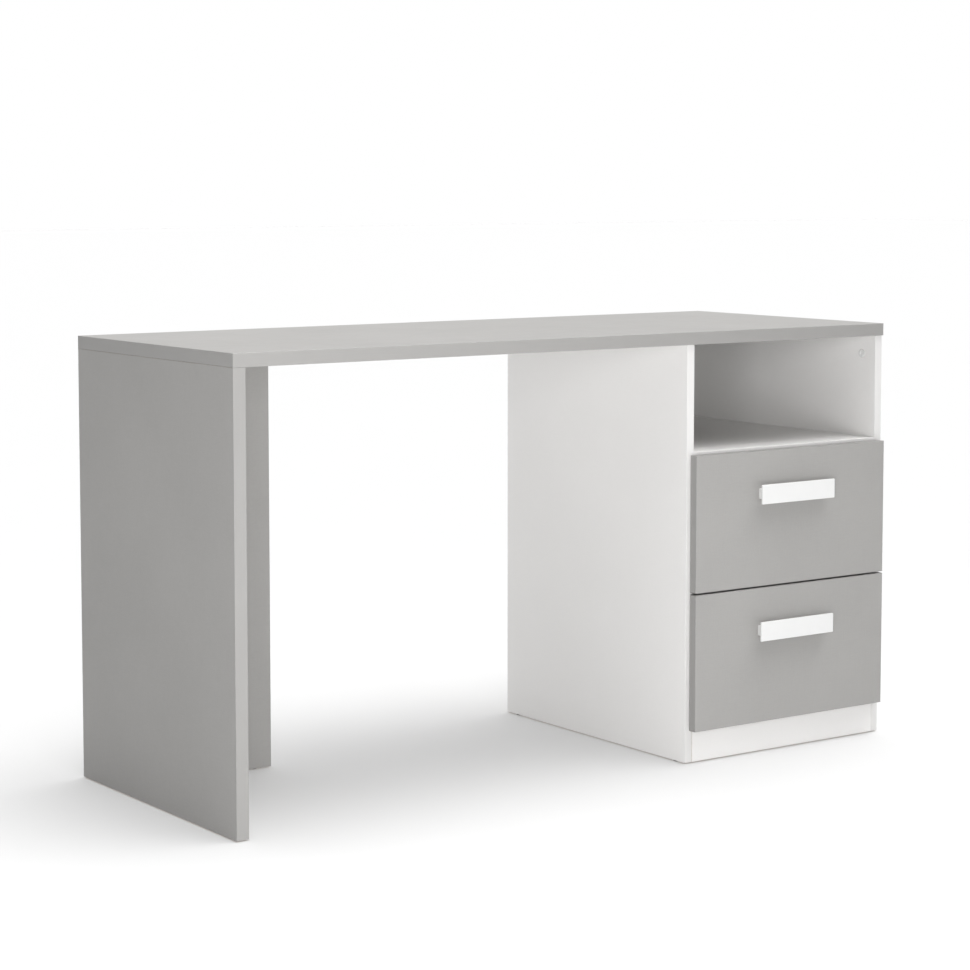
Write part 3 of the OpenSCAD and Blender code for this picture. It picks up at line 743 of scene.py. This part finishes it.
def screw(head_r, head_t, shank_r, shank_l, recess, dome):
    """A screw about Z: its head's underside at z = 0, its head above it and its threaded shank below."""
    crown = head_t * dome
    profile = [(0, head_t)] + [(head_r * math.sin(a), head_t - crown * (1 - math.cos(a)))
                               for a in (0.35, 0.7, 1.05, 1.35)]
    profile += [(head_r, head_t - crown), (head_r, head_t * 0.15), (head_r - head_t * 0.1, 0), (shank_r, 0)]
    pitch = shank_r * 0.9
    ridges = int((shank_l - 2.5 * shank_r) / pitch)
    for i in range(ridges):
        start = -shank_r * 0.5 - pitch * i
        profile += [(shank_r * 0.74, start), (shank_r, start - pitch * 0.5), (shank_r * 0.74, start - pitch)]
    profile += [(shank_r * 0.6, -shank_l + shank_r * 1.6), (0, -shank_l)]
    made = turned(profile, 32)
    tool = cross(head_r * 0.30, head_r * 0.62, recess)
    bmesh.ops.translate(tool, verts=tool.verts, vec=(0, 0, head_t + NEAR))
    return carved(made, tool)


def rivet(head_r, head_t, shank_r, shank_l):
    """A pin about Z with a domed head above z = 0 and its shank below."""
    dome = [(head_r * math.sin(a), head_t * (0.35 + 0.65 * math.cos(a))) for a in (0.3, 0.6, 0.9, 1.2, 1.5)]
    soft = shank_r * 0.15
    shank = [(shank_r, 0), (shank_r, soft - shank_l), (shank_r - soft, -shank_l), (0, -shank_l)]
    return turned([(0, head_t)] + dome + [(head_r, head_t * 0.3), (head_r, 0)] + shank, 32)


def cam(radius, depth, recess):
    """A cast cam housing about Z with its face at z = 0: a rim, a shallow dish and a cross slot."""
    rim = radius * 0.06
    profile = [(0, -rim * 0.8), (radius * 0.70, -rim * 0.8), (radius * 0.78, -rim * 0.1), (radius - rim, 0),
               (radius, -rim), (radius, -depth + rim), (radius - rim, -depth), (0, -depth)]
    made = turned(profile, 40)
    return carved(made, cross(radius * 0.24, radius * 0.58, recess * 2.2))


class DeskOperator:
    """What every operator of the desk shares."""

    bl_options = {"REGISTER", "UNDO"}

    @property
    def sizes(self):
        return bpy.context.scene.desk_sizes


# ---- The fixed frame ----

FRAME_BOARDS = ("leg_panel", "stiffener_panel", "pedestal_left_side", "pedestal_right_side", "pedestal_shelf",
                "pedestal_bottom", "plinth_front", "plinth_rear")


def frame_board(node, bare, sizes, grooves=()):
    """One board of the fixed frame with its cam recesses and grooves."""
    low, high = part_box(node)
    cutters = cam_recesses(seats("cam_housings", FRAME_BOARDS), node, sizes)
    for groove in grooves:
        add_block(cutters, *groove)
    make(node + "_board", board(low, high, bare, cutters, sizes), node, [SLOT_OF[node], "core"])


def bands(name, node, strips, sizes):
    """Edge bands as pieces of their own: strips gives each one's name, box, outward way and long axis."""
    for label, low, high, way in strips:
        drawn_along = AXIS_NAME[long_axis((low, high))]
        make(f"{name}_{label}", band(low, high, way, sizes), node, [f"{SLOT_OF[node]}_{drawn_along}"])


def strip_on(box, axis, sign, reach):
    """The strip on a board's face at one end of an axis, out to a level, and the way it looks."""
    low, high = Vector(box[0]), Vector(box[1])
    low[axis], high[axis] = (reach, box[0][axis]) if sign < 0 else (box[1][axis], reach)
    return low, high, unit(axis, sign)


def rim_strips(core, outer, first, second):
    """Four bands round a board: those across the first axis reach the corners, the rest lie between."""
    strips = []
    for axis, full in ((first, True), (second, False)):
        for sign, label in ((-1, "low"), (1, "high")):
            low, high = Vector(outer[0]), Vector(outer[1])
            if not full:
                low[first], high[first] = core[0][first], core[1][first]
            if sign < 0:
                high[axis] = core[0][axis]
            else:
                low[axis] = core[1][axis]
            strips.append((f"{AXIS_NAME[axis]}_{label}", low, high, unit(axis, sign)))
    return strips


GROOVE_RUN_OUT = 2 * MM


class DESK_OT_desktop(DeskOperator, bpy.types.Operator):
    """Desktop board with an edge band on each of its four edges"""

    bl_idname = "desk.desktop"
    bl_label = "Desktop"

    def execute(self, context):
        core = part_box("desktop")
        make("desktop_board", board(*core, (), bmesh.new(), self.sizes), "desktop", ["grey_board", "core"])
        strips = rim_strips(core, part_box("desktop_edge_bands"), first=1, second=0)
        bands("desktop_band", "desktop_edge_bands", strips, self.sizes)
        return {"FINISHED"}


class DESK_OT_leg(DeskOperator, bpy.types.Operator):
    """Leg panel and stiffener panel, with the bands on their upright edges"""

    bl_idname = "desk.leg"
    bl_label = "Leg and stiffener"

    def execute(self, context):
        for node in ("leg_panel", "stiffener_panel"):
            frame_board(node, (Z, -Z), self.sizes)
        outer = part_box("leg_edge_bands")
        leg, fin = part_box("leg_panel"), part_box("stiffener_panel")
        strips = [("leg_front", *strip_on(leg, 1, -1, outer[0].y)),
                  ("leg_rear", *strip_on(leg, 1, 1, outer[1].y)),
                  ("stiffener", *strip_on(fin, 0, 1, outer[1].x))]
        bands("band", "leg_edge_bands", strips, self.sizes)
        return {"FINISHED"}


class DESK_OT_pedestal(DeskOperator, bpy.types.Operator):
    """Pedestal: two sides, the niche's shelf, the bottom board, two plinths and the front bands"""

    bl_idname = "desk.pedestal"
    bl_label = "Pedestal boards"

    def execute(self, context):
        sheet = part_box("back_panel")
        groove = grow(sheet, self.sizes.cut_gap)
        groove[1].z += GROOVE_RUN_OUT
        front_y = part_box("pedestal_edge_bands")[0].y
        strips = []
        for hand in HANDS:
            node = f"pedestal_{hand}_side"
            frame_board(node, (Y, Z, -Z), self.sizes, [groove])
            strips.append((hand, *strip_on(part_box(node), 1, -1, front_y)))
        for node in ("pedestal_shelf", "pedestal_bottom"):
            frame_board(node, (X, -X, Y), self.sizes)
            strips.append((node.removeprefix("pedestal_"), *strip_on(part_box(node), 1, -1, front_y)))
        for node in ("plinth_front", "plinth_rear"):
            frame_board(node, (X, -X, Z, -Z), self.sizes)
        bands("pedestal_band", "pedestal_edge_bands", strips, self.sizes)
        return {"FINISHED"}


class DESK_OT_back_panel(DeskOperator, bpy.types.Operator):
    """Thin back panel of the pedestal, in its grooves"""

    bl_idname = "desk.back_panel"
    bl_label = "Back panel"

    def execute(self, context):
        make("back_sheet", block(*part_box("back_panel"), self.sizes.board_edge), "back_panel")
        return {"FINISHED"}


class DESK_OT_frame_fittings(DeskOperator, bpy.types.Operator):
    """Cams, their bolts and cover caps, and the dowels of the fixed frame"""

    bl_idname = "desk.frame_fittings"
    bl_label = "Frame fittings"

    def execute(self, context):
        make_cams("cams", "cam_housings", FRAME_BOARDS, self.sizes)
        gather("cover_caps", "cam_caps", add_cover_cap)
        gather("connecting_bolts", "cam_bolts", lambda shafts, box: add_bolt(shafts, box, long_axis(box)),
               lambda box: width_of(box, long_axis(box)) >= SHORTEST_BOLT)
        gather("fluted_dowels", "dowels", lambda pegs, box: add_dowel(pegs, box, long_axis(box)))
        return {"FINISHED"}


SHORTEST_BOLT = 10 * MM


def gather(name, node, add_one, wanted=lambda box: True):
    """Makes one piece of a node's wanted solids; add_one(shapes, box) adds the shape for each."""
    shapes = bmesh.new()
    for box in filter(wanted, solids(node)):
        add_one(shapes, box)
    make(name, shapes, node)


def make_cams(name, node, board_nodes, sizes):
    """The cams of one node as one piece."""
    casting = bmesh.new()
    for _, seat in seats(node, board_nodes):
        add(casting, cam(seat.radius, seat.depth, sizes.recess), facing(seat.point, seat.way))
    make(name, casting, node)


def add_cover_cap(discs, box):
    """Adds a cover cap on a side board's inner face: a disc with a rounded rim, dished in the middle."""
    radius, height = width_of(box, 2) / 2, width_of(box, 0)
    rounding, dish, hollow = height * 0.4, height * 0.75, radius * 0.42
    profile = [(0, height - dish)] + arc((hollow, height), dish, -90, -20, 5) + [(hollow + dish, height)]
    profile += arc((radius - rounding, height - rounding), rounding, 90, 0, 4) + [(radius, 0), (0, 0)]
    add(discs, turned(profile, 48), facing(end_of(box, 0, -side_of(box)), X * side_of(box)))


def add_bolt(shapes, box, axis):
    """Adds a connecting bolt: a ball head for the cam, a smooth neck and a coarse thread."""
    radius, reach = width_of(box, (axis + 1) % 3) / 2, width_of(box, axis)
    neck, pitch = radius * 0.62, radius * 0.8
    profile = [(0, 0)] + arc((0, radius), radius, -80, 50, 6) + [(neck, radius * 2), (neck, reach * 0.5)]
    for i in range(int(reach * 0.5 / pitch) - 1):
        start = reach * 0.5 + pitch * i
        profile += [(radius, start + pitch * 0.5), (radius * 0.75, start + pitch)]
    add(shapes, turned(profile + [(0, reach)], 24), facing(end_of(box, axis, -1), unit(axis)))


def add_dowel(pegs, box, axis):
    """Adds a dowel with softened ends and flutes along it."""
    radius, reach = width_of(box, (axis + 1) % 3) / 2, width_of(box, axis)
    soft, flutes, flute_depth = radius * 0.3, 24, 0.03
    shape = turned([(0, 0), (radius - soft, 0), (radius, soft), (radius, reach - soft),
                    (radius - soft, reach), (0, reach)], 48)
    for vert in shape.verts:
        flat = Vector((vert.co.x, vert.co.y))
        if flat.length > radius * 0.9:
            flat *= 1 - flute_depth * (1 - math.cos(math.atan2(flat.y, flat.x) * flutes))
            vert.co.x, vert.co.y = flat
    add(pegs, shape, facing(end_of(box, axis, -1), unit(axis)))


class DESK_OT_glides(DeskOperator, bpy.types.Operator):
    """Nail-in glides under the boards that stand on the floor"""

    bl_idname = "desk.glides"
    bl_label = "Glides"

    def execute(self, context):
        feet = bmesh.new()
        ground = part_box("leg_panel")[0].z
        rounding, nail_r, nail_tip = ground * 0.6, 1.25 * MM, 1.5 * MM
        for box in solids("glides"):
            radius, top = width_of(box, 0) / 2, box[1].z
            profile = [(0, 0)] + arc((radius - rounding, rounding), rounding, -90, 0, 4)
            profile += [(radius, ground), (nail_r, ground), (nail_r, top - nail_tip), (0, top)]
            add(feet, turned(profile, 40), Matrix.Translation((centre(box).x, centre(box).y, 0)))
        make("floor_glides", feet, "glides")
        return {"FINISHED"}


# ---- Runners ----

SLOT_RADIUS = 2.2 * MM
SLOT_HALF_LENGTH = 3.2 * MM
LAST_SLOT_TO_END = 20 * MM
STOP_ROUNDING = 0.8 * MM


def channel(node, hand, sizes):
    """A channel: bent sheet steel with slots for its screws and a pressed stop for the drawer's roller."""
    low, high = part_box(node)
    gauge, half = sizes.gauge, sizes.gauge / 2
    sign = 1 if hand == "left" else -1
    wall, lip = (low.x, high.x) if sign > 0 else (high.x, low.x)
    web_x = wall + sign * half
    path = [(lip, low.z + half), (web_x, low.z + half), (web_x, high.z - half), (lip, high.z - half)]
    bm = bent_strip(path, sizes.bend, gauge, low.y, high.y)
    screws_y = [centre(b).y for b in solids("runner_screws")
                if inside((Vector((wall, centre(b).y, centre(b).z)),) * 2, (low, high))]
    slots = bmesh.new()
    y = min(screws_y)
    while y < high.y - LAST_SLOT_TO_END:
        if all(abs(y - s) > 1 * MM for s in screws_y):
            add(slots, slot_cutter(gauge), Matrix.Translation((web_x, y, (low.z + high.z) / 2)))
        y += sizes.slot_pitch
    bm = carved(bm, slots)
    stop = [v.co for v in frame["nodes"][node].data.vertices
            if abs(v.co.x - wall) > 2 * gauge and low.z + 1.5 * gauge < v.co.z < high.z - 1.5 * gauge]
    if not stop:
        raise RuntimeError(f"{node} has no stop inside its channel")
    stop_low = Vector((min(p.x for p in stop), min(p.y for p in stop), low.z + half))
    stop_high = Vector((max(p.x for p in stop), max(p.y for p in stop), max(p.z for p in stop)))
    add(bm, block(stop_low, stop_high, STOP_ROUNDING, 3,
                  lambda middle, way: middle.z > stop_high.z - 0.1 * MM or abs(way.z) > 0.9))
    return bm


def slot_cutter(gauge):
    """Cutter for an oval slot that runs along Y through a wall across X."""
    reach = SLOT_HALF_LENGTH - SLOT_RADIUS
    outline = [(y + reach, z) for y, z in arc((0, 0), SLOT_RADIUS, -90, 90, 8)]
    outline += [(y - reach, z) for y, z in arc((0, 0), SLOT_RADIUS, 90, 270, 8)]
    cutter = prism(outline, -gauge, gauge)
    cutter.transform(Matrix.Rotation(math.pi / 2, 4, "Z"))
    return cutter


class DESK_OT_channels(DeskOperator, bpy.types.Operator):
    """Channels of the drawer runners on the pedestal's sides, with their screws and roller pins"""

    bl_idname = "desk.channels"
    bl_label = "Channels"

    def execute(self, context):
        for drawer in DRAWERS:
            for hand in HANDS:
                node = f"runner_{drawer}_{hand}"
                make(f"channel_{drawer}_{hand}", channel(node, hand, self.sizes), node)
        gather("channel_screws", "runner_screws",
               lambda heads, box: add_screw(heads, box, 0, side_of(box), self.sizes, RUNNER_SCREW))
        gather("front_roller_pins", "runner_pins", lambda pins, box: add_pin(pins, box, side_of(box)))
        return {"FINISHED"}


# Thickness of the head, radius of the shank, and share of the head that is domed
RUNNER_SCREW = (1.2 * MM, 1.75 * MM, 0.35)
HANDLE_SCREW = (2.4 * MM, 2.0 * MM, 0.5)
PIN_HEAD = 0.6 * MM
PIN_RADIUS = 2.5 * MM
ROLLER_PLAY = 0.05 * MM
TREAD_ROUNDING = 0.7 * MM


def add_screw(target, box, axis, sign, sizes, kind):
    """Adds a screw that fills its box, its head at the high end of the axis where sign is 1."""
    head_t, shank_r, dome = kind
    head_r, shank_l = width_of(box, (axis + 1) % 3) / 2, width_of(box, axis) - head_t
    shape = screw(head_r, head_t, shank_r, shank_l, min(sizes.recess, head_t * 0.85), dome)
    add(target, shape, facing(end_of(box, axis, sign, head_t), unit(axis, sign)))


def add_pin(pins, box, sign):
    """Adds a roller pin along X, its head at the high end where sign is 1."""
    shape = rivet(width_of(box, 2) / 2, PIN_HEAD, PIN_RADIUS, width_of(box, 0) - PIN_HEAD)
    add(pins, shape, facing(end_of(box, 0, sign, PIN_HEAD), X * sign))


class DESK_OT_rollers(DeskOperator, bpy.types.Operator):
    """Nylon rollers of the runners, each on a body of its own"""

    bl_idname = "desk.rollers"
    bl_label = "Rollers"

    def execute(self, context):
        for end in ("front", "rear"):
            for drawer in DRAWERS:
                for hand in HANDS:
                    node = f"{end}_roller_{drawer}_{hand}"
                    low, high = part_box(node)
                    radius, width, bore = (high.z - low.z) / 2, high.x - low.x, PIN_RADIUS + ROLLER_PLAY
                    soft, dish, rim, hub = TREAD_ROUNDING, width * 0.14, radius * 0.80, radius * 0.44
                    half = [(bore, width / 2)] + [(hub, width / 2), (hub + dish, width / 2 - dish),
                                                  (rim - dish, width / 2 - dish), (rim, width / 2)]
                    half += arc((radius - soft, width / 2 - soft), soft, 90, 0, 4)
                    profile = half + [(r, -h) for r, h in reversed(half)]
                    shape = turned(profile, 56, closed=True)
                    shape.transform(facing(centre((low, high)), X))
                    make(node + "_wheel", shape, node)
        return {"FINISHED"}


# ---- Drawers ----

def box_sides(drawer):
    return tuple(f"{drawer}_drawer_{hand}_side" for hand in HANDS)


class DESK_OT_drawer_fronts(DeskOperator, bpy.types.Operator):
    """Drawer fronts with an edge band on each of their four edges"""

    bl_idname = "desk.drawer_fronts"
    bl_label = "Drawer fronts"

    def execute(self, context):
        for drawer in DRAWERS:
            node = f"{drawer}_drawer_front"
            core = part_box(node)
            cutters = bmesh.new()
            add_block(cutters, *grow(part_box(f"{drawer}_drawer_bottom"), self.sizes.cut_gap))
            bm = board(*core, (), cutters, self.sizes)
            make(node + "_board", bm, node, ["grey_board", "core"])
            strips = rim_strips(core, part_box(node + "_bands"), first=2, second=0)
            bands(f"{drawer}_front_band", node + "_bands", strips, self.sizes)
        return {"FINISHED"}


class DESK_OT_drawer_boxes(DeskOperator, bpy.types.Operator):
    """Drawer boxes: foiled sides and back, and a thin bottom in grooves"""

    bl_idname = "desk.drawer_boxes"
    bl_label = "Drawer boxes"

    def execute(self, context):
        sizes = self.sizes
        for drawer in DRAWERS:
            found = seats(f"{drawer}_drawer_cams", box_sides(drawer))
            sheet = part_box(f"{drawer}_drawer_bottom")
            for node in box_sides(drawer):
                low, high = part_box(node)
                cutters = cam_recesses(found, node, sizes)
                add_block(cutters, *grow(sheet, sizes.cut_gap))
                for box in solids(f"{drawer}_drawer_cam_bolts"):
                    mouth = end_of(box, 0, -side_of(box))
                    if long_axis(box) == 0 and low.x - MM < mouth.x < high.x + MM:
                        add_countersink(cutters, box, mouth, sizes)
                foiled_board(node, 1, (Y, -Y), cutters, sizes)
            foiled_board(f"{drawer}_drawer_back", 0, (X, -X, -Z), bmesh.new(), sizes)
            make(f"{drawer}_drawer_bottom_sheet", block(*sheet, sizes.board_edge), f"{drawer}_drawer_bottom")
        return {"FINISHED"}


def foiled_board(node, along, bare, cutters, sizes):
    """A board of a drawer box: its foil runs over the two rounded top edges along one axis."""
    low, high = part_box(node)
    bm = block(low, high, sizes.foil_edge, 4,
               lambda middle, way: abs(way[along]) > 0.9 and middle.z > high.z - 0.1 * MM)
    bm = carved(bm, cutters)
    show_core(bm, bare)
    make(node + "_board", bm, node, ["white_board", "core"])


def show_core(bm, bare):
    """Gives the core's finish to the faces that look in the bare ways."""
    for face in bm.faces:
        if any(face.normal.dot(way) > 0.9 for way in bare):
            face.material_index = 1


COUNTERSUNK_HEAD = 2.0 * MM


def add_countersink(cutters, box, mouth, sizes):
    """Adds the cutter for a flush screw's head, with its mouth at the outer end of the screw's box."""
    head_r, depth = width_of(box, 2) / 2 + sizes.cut_gap, COUNTERSUNK_HEAD
    shape = turned([(0, -depth), (head_r * 0.5, -depth), (head_r, 0), (head_r, depth), (0, depth)], 32)
    add(cutters, shape, facing(mouth, X * -side_of(box)), slot=1)


class DESK_OT_handles(DeskOperator, bpy.types.Operator):
    """Handles: a flat plate with soft corners on a narrower spine, and their screws"""

    bl_idname = "desk.handles"
    bl_label = "Handles"

    def execute(self, context):
        sizes = self.sizes
        for drawer in DRAWERS:
            node = f"{drawer}_drawer_handle"
            low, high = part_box(node)
            points = [v.co for v in frame["nodes"][node].data.vertices]
            plate_y = min(p.y for p in points if p.y > low.y + MM)
            at_rear = [p for p in points if p.y > high.y - 0.1 * MM]
            spine_low = Vector((min(p.x for p in at_rear), plate_y, min(p.z for p in at_rear)))
            spine_high = Vector((max(p.x for p in at_rear), high.y, max(p.z for p in at_rear)))
            plate, spine = (block(start, end, sizes.handle_corner, 4, lambda _, way: abs(way.y) > 0.9)
                            for start, end in ((low, Vector((high.x, plate_y, high.z))),
                                               (spine_low - Y * MM, spine_high)))
            round_edges(plate, sizes.handle_edge, 3, lambda _, way: abs(way.y) < 0.1)
            make(node + "_bar", carved(plate, spine, "UNION"), node)
            gather(node + "_bolts", node + "_screws",
                   lambda heads, box: add_screw(heads, box, 1, 1, sizes, HANDLE_SCREW))
        return {"FINISHED"}


class DESK_OT_drawer_rails(DeskOperator, bpy.types.Operator):
    """Steel rails under the drawers' sides, with their screws and roller pins"""

    bl_idname = "desk.drawer_rails"
    bl_label = "Drawer rails"

    def execute(self, context):
        sizes = self.sizes
        gauge, half = sizes.gauge, sizes.gauge / 2
        for drawer in DRAWERS:
            for hand in HANDS:
                node = f"{drawer}_drawer_{hand}_rail"
                low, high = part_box(node)
                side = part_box(f"{drawer}_drawer_{hand}_side")
                sign = 1 if hand == "left" else -1
                foot_end, flange_end = (high.x, low.x) if sign > 0 else (low.x, high.x)
                web = (side[0].x if sign > 0 else side[1].x) - sign * half
                path = [(foot_end, low.z + half), (web, low.z + half), (web, high.z - half),
                        (flange_end, high.z - half)]
                make(f"{drawer}_{hand}_rail_strip", bent_strip(path, sizes.bend, gauge, low.y, high.y), node)
            gather(f"{drawer}_rail_screws", f"{drawer}_drawer_rail_screws",
                   lambda heads, box: add_screw(heads, box, 2, -1, sizes, RUNNER_SCREW))
            gather(f"{drawer}_rear_roller_pins", f"{drawer}_drawer_roller_pins",
                   lambda pins, box: add_pin(pins, box, -side_of(box)))
        return {"FINISHED"}


class DESK_OT_drawer_fittings(DeskOperator, bpy.types.Operator):
    """Small cams and bolts of the drawer boxes, and the screws of their backs"""

    bl_idname = "desk.drawer_fittings"
    bl_label = "Drawer fittings"

    def execute(self, context):
        for drawer in DRAWERS:
            make_cams(f"{drawer}_small_cams", f"{drawer}_drawer_cams", box_sides(drawer), self.sizes)
            node = f"{drawer}_drawer_cam_bolts"
            gather(f"{drawer}_small_bolts", node, lambda shafts, box: add_bolt(shafts, box, 1),
                   lambda box: long_axis(box) == 1)
            gather(f"{drawer}_back_screws", node,
                   lambda heads, box: add_flush_screw(heads, box, -side_of(box), self.sizes),
                   lambda box: long_axis(box) == 0)
        return {"FINISHED"}


def add_flush_screw(target, box, sign, sizes):
    """Adds a countersunk screw along X, its flat head at the high end where sign is 1."""
    head_r, reach, head_t = width_of(box, 2) / 2, width_of(box, 0), COUNTERSUNK_HEAD
    shank_r = head_r * 0.7
    profile = [(0, 0), (head_r * 0.96, 0), (head_r, -0.1 * MM), (shank_r * 0.7, -head_t)]
    pitch = shank_r * 0.8
    for i in range(int((reach - head_t - 2.5 * shank_r) / pitch)):
        start = -head_t - pitch * i
        profile += [(shank_r * 0.7, start - pitch * 0.3), (shank_r, start - pitch * 0.7)]
    profile += [(shank_r * 0.6, -reach + 1.6 * shank_r), (0, -reach)]
    shape = carved(turned(profile, 32), cross(head_r * 0.3, head_r * 0.6, sizes.recess))
    add(target, shape, facing(end_of(box, 0, sign), X * sign))


# ---- Stage ----

class DESK_OT_stage(DeskOperator, bpy.types.Operator):
    """Floor, studio light and camera"""

    bl_idname = "desk.stage"
    bl_label = "Stage"

    def execute(self, context):
        scene = context.scene
        stage = scene.desk_stage
        scene.view_settings.view_transform = "Standard"
        self.lay_floor(stage)
        self.light_studio(scene, stage)
        data = bpy.data.cameras.new("camera")
        data.sensor_width = 36
        data.lens = stage.lens
        data.shift_y = stage.rise
        data.clip_end = 100
        camera = bpy.data.objects.new("camera", data)
        camera.location = stage.eye
        camera.rotation_euler = (math.pi / 2 - stage.pitch, 0, -stage.yaw)
        scene.collection.objects.link(camera)
        scene.camera = camera
        return {"FINISHED"}

    @staticmethod
    def lay_floor(stage):
        half_width = 40
        bm = bmesh.new()
        bmesh.ops.create_grid(bm, x_segments=8, y_segments=8, size=half_width)
        mesh = bpy.data.meshes.new("floor")
        bm.to_mesh(mesh)
        bm.free()
        material = bpy.data.materials.new("studio_floor")
        material.use_nodes = True
        n = Nodes(material.node_tree)
        cloud = n.noise(even(3), detail=2.0)
        tint = stage.floor
        shader = n.node("ShaderNodeBsdfPrincipled", {}, {
            "Base Color": n.tones(cloud, tint, 0.99, 1.01), "Roughness": 0.7 + cloud * 0.1,
            "Emission Color": (1, 1, 1, 1), "Emission Strength": stage.floor_glow}, "BSDF")
        n.node("ShaderNodeOutputMaterial", {}, {"Surface": shader})
        mesh.materials.append(material)
        floor = bpy.data.objects.new("floor", mesh)
        bpy.context.scene.collection.objects.link(floor)

    @staticmethod
    def light_studio(scene, stage):
        world = bpy.data.worlds.new("studio")
        scene.world = world
        world.use_nodes = True
        n = Nodes(world.node_tree)
        way = n.node("ShaderNodeTexCoord", {}, {}, "Generated")
        lean = Vector(stage.sky_lean).normalized()
        overhead = n.dot(way, lean).math("MAXIMUM", 0)
        behind = n.dot(way, Y).math("MAXIMUM", 0)
        sky = stage.low_sky + stage.high_sky * overhead ** stage.sky_fall + stage.rear_sky * behind
        seen = n.node("ShaderNodeLightPath", {}, {}, "Is Camera Ray")
        strength = sky * (1 - seen) + seen
        inputs = {"Color": (1, 1, 1, 1), "Strength": strength}
        shader = n.node("ShaderNodeBackground", {}, inputs, "Background")
        n.node("ShaderNodeOutputWorld", {}, {"Surface": shader})
        data = bpy.data.lights.new("key", "AREA")
        data.shape = "SQUARE"
        data.size = stage.key_size
        data.energy = stage.key_power
        key = bpy.data.objects.new("key", data)
        key.location = stage.key_place
        key.rotation_euler = (math.pi / 2, 0, -stage.key_turn)
        key.visible_camera = False
        scene.collection.objects.link(key)


OPERATORS = (
    DESK_OT_desktop, DESK_OT_leg, DESK_OT_pedestal, DESK_OT_back_panel, DESK_OT_frame_fittings,
    DESK_OT_glides, DESK_OT_channels, DESK_OT_rollers, DESK_OT_drawer_fronts, DESK_OT_drawer_boxes,
    DESK_OT_handles, DESK_OT_drawer_rails, DESK_OT_drawer_fittings, DESK_OT_stage)


class DESK_PT_panel(bpy.types.Panel):
    """Lists the desk's pieces and its stage"""

    bl_idname = "DESK_PT_panel"
    bl_label = "Writing desk"
    bl_space_type = "VIEW_3D"
    bl_region_type = "UI"
    bl_category = "Desk"

    def draw(self, context):
        for operator in OPERATORS:
            self.layout.operator(operator.bl_idname)


GROUPS = {"desk_sizes": DeskSizes, "desk_colours": DeskColours, "desk_stage": DeskStage}


def register():
    for cls in (*GROUPS.values(), *OPERATORS, DESK_PT_panel):
        bpy.utils.register_class(cls)
    for name, group in GROUPS.items():
        setattr(bpy.types.Scene, name, PointerProperty(type=group))


def unregister():
    for name in GROUPS:
        delattr(bpy.types.Scene, name)
    for cls in reversed((*GROUPS.values(), *OPERATORS, DESK_PT_panel)):
        bpy.utils.unregister_class(cls)


def main():
    register()
    for operator in OPERATORS:
        area, name = operator.bl_idname.split(".")
        getattr(getattr(bpy.ops, area), name)()


if __name__ == "__main__":
    main()
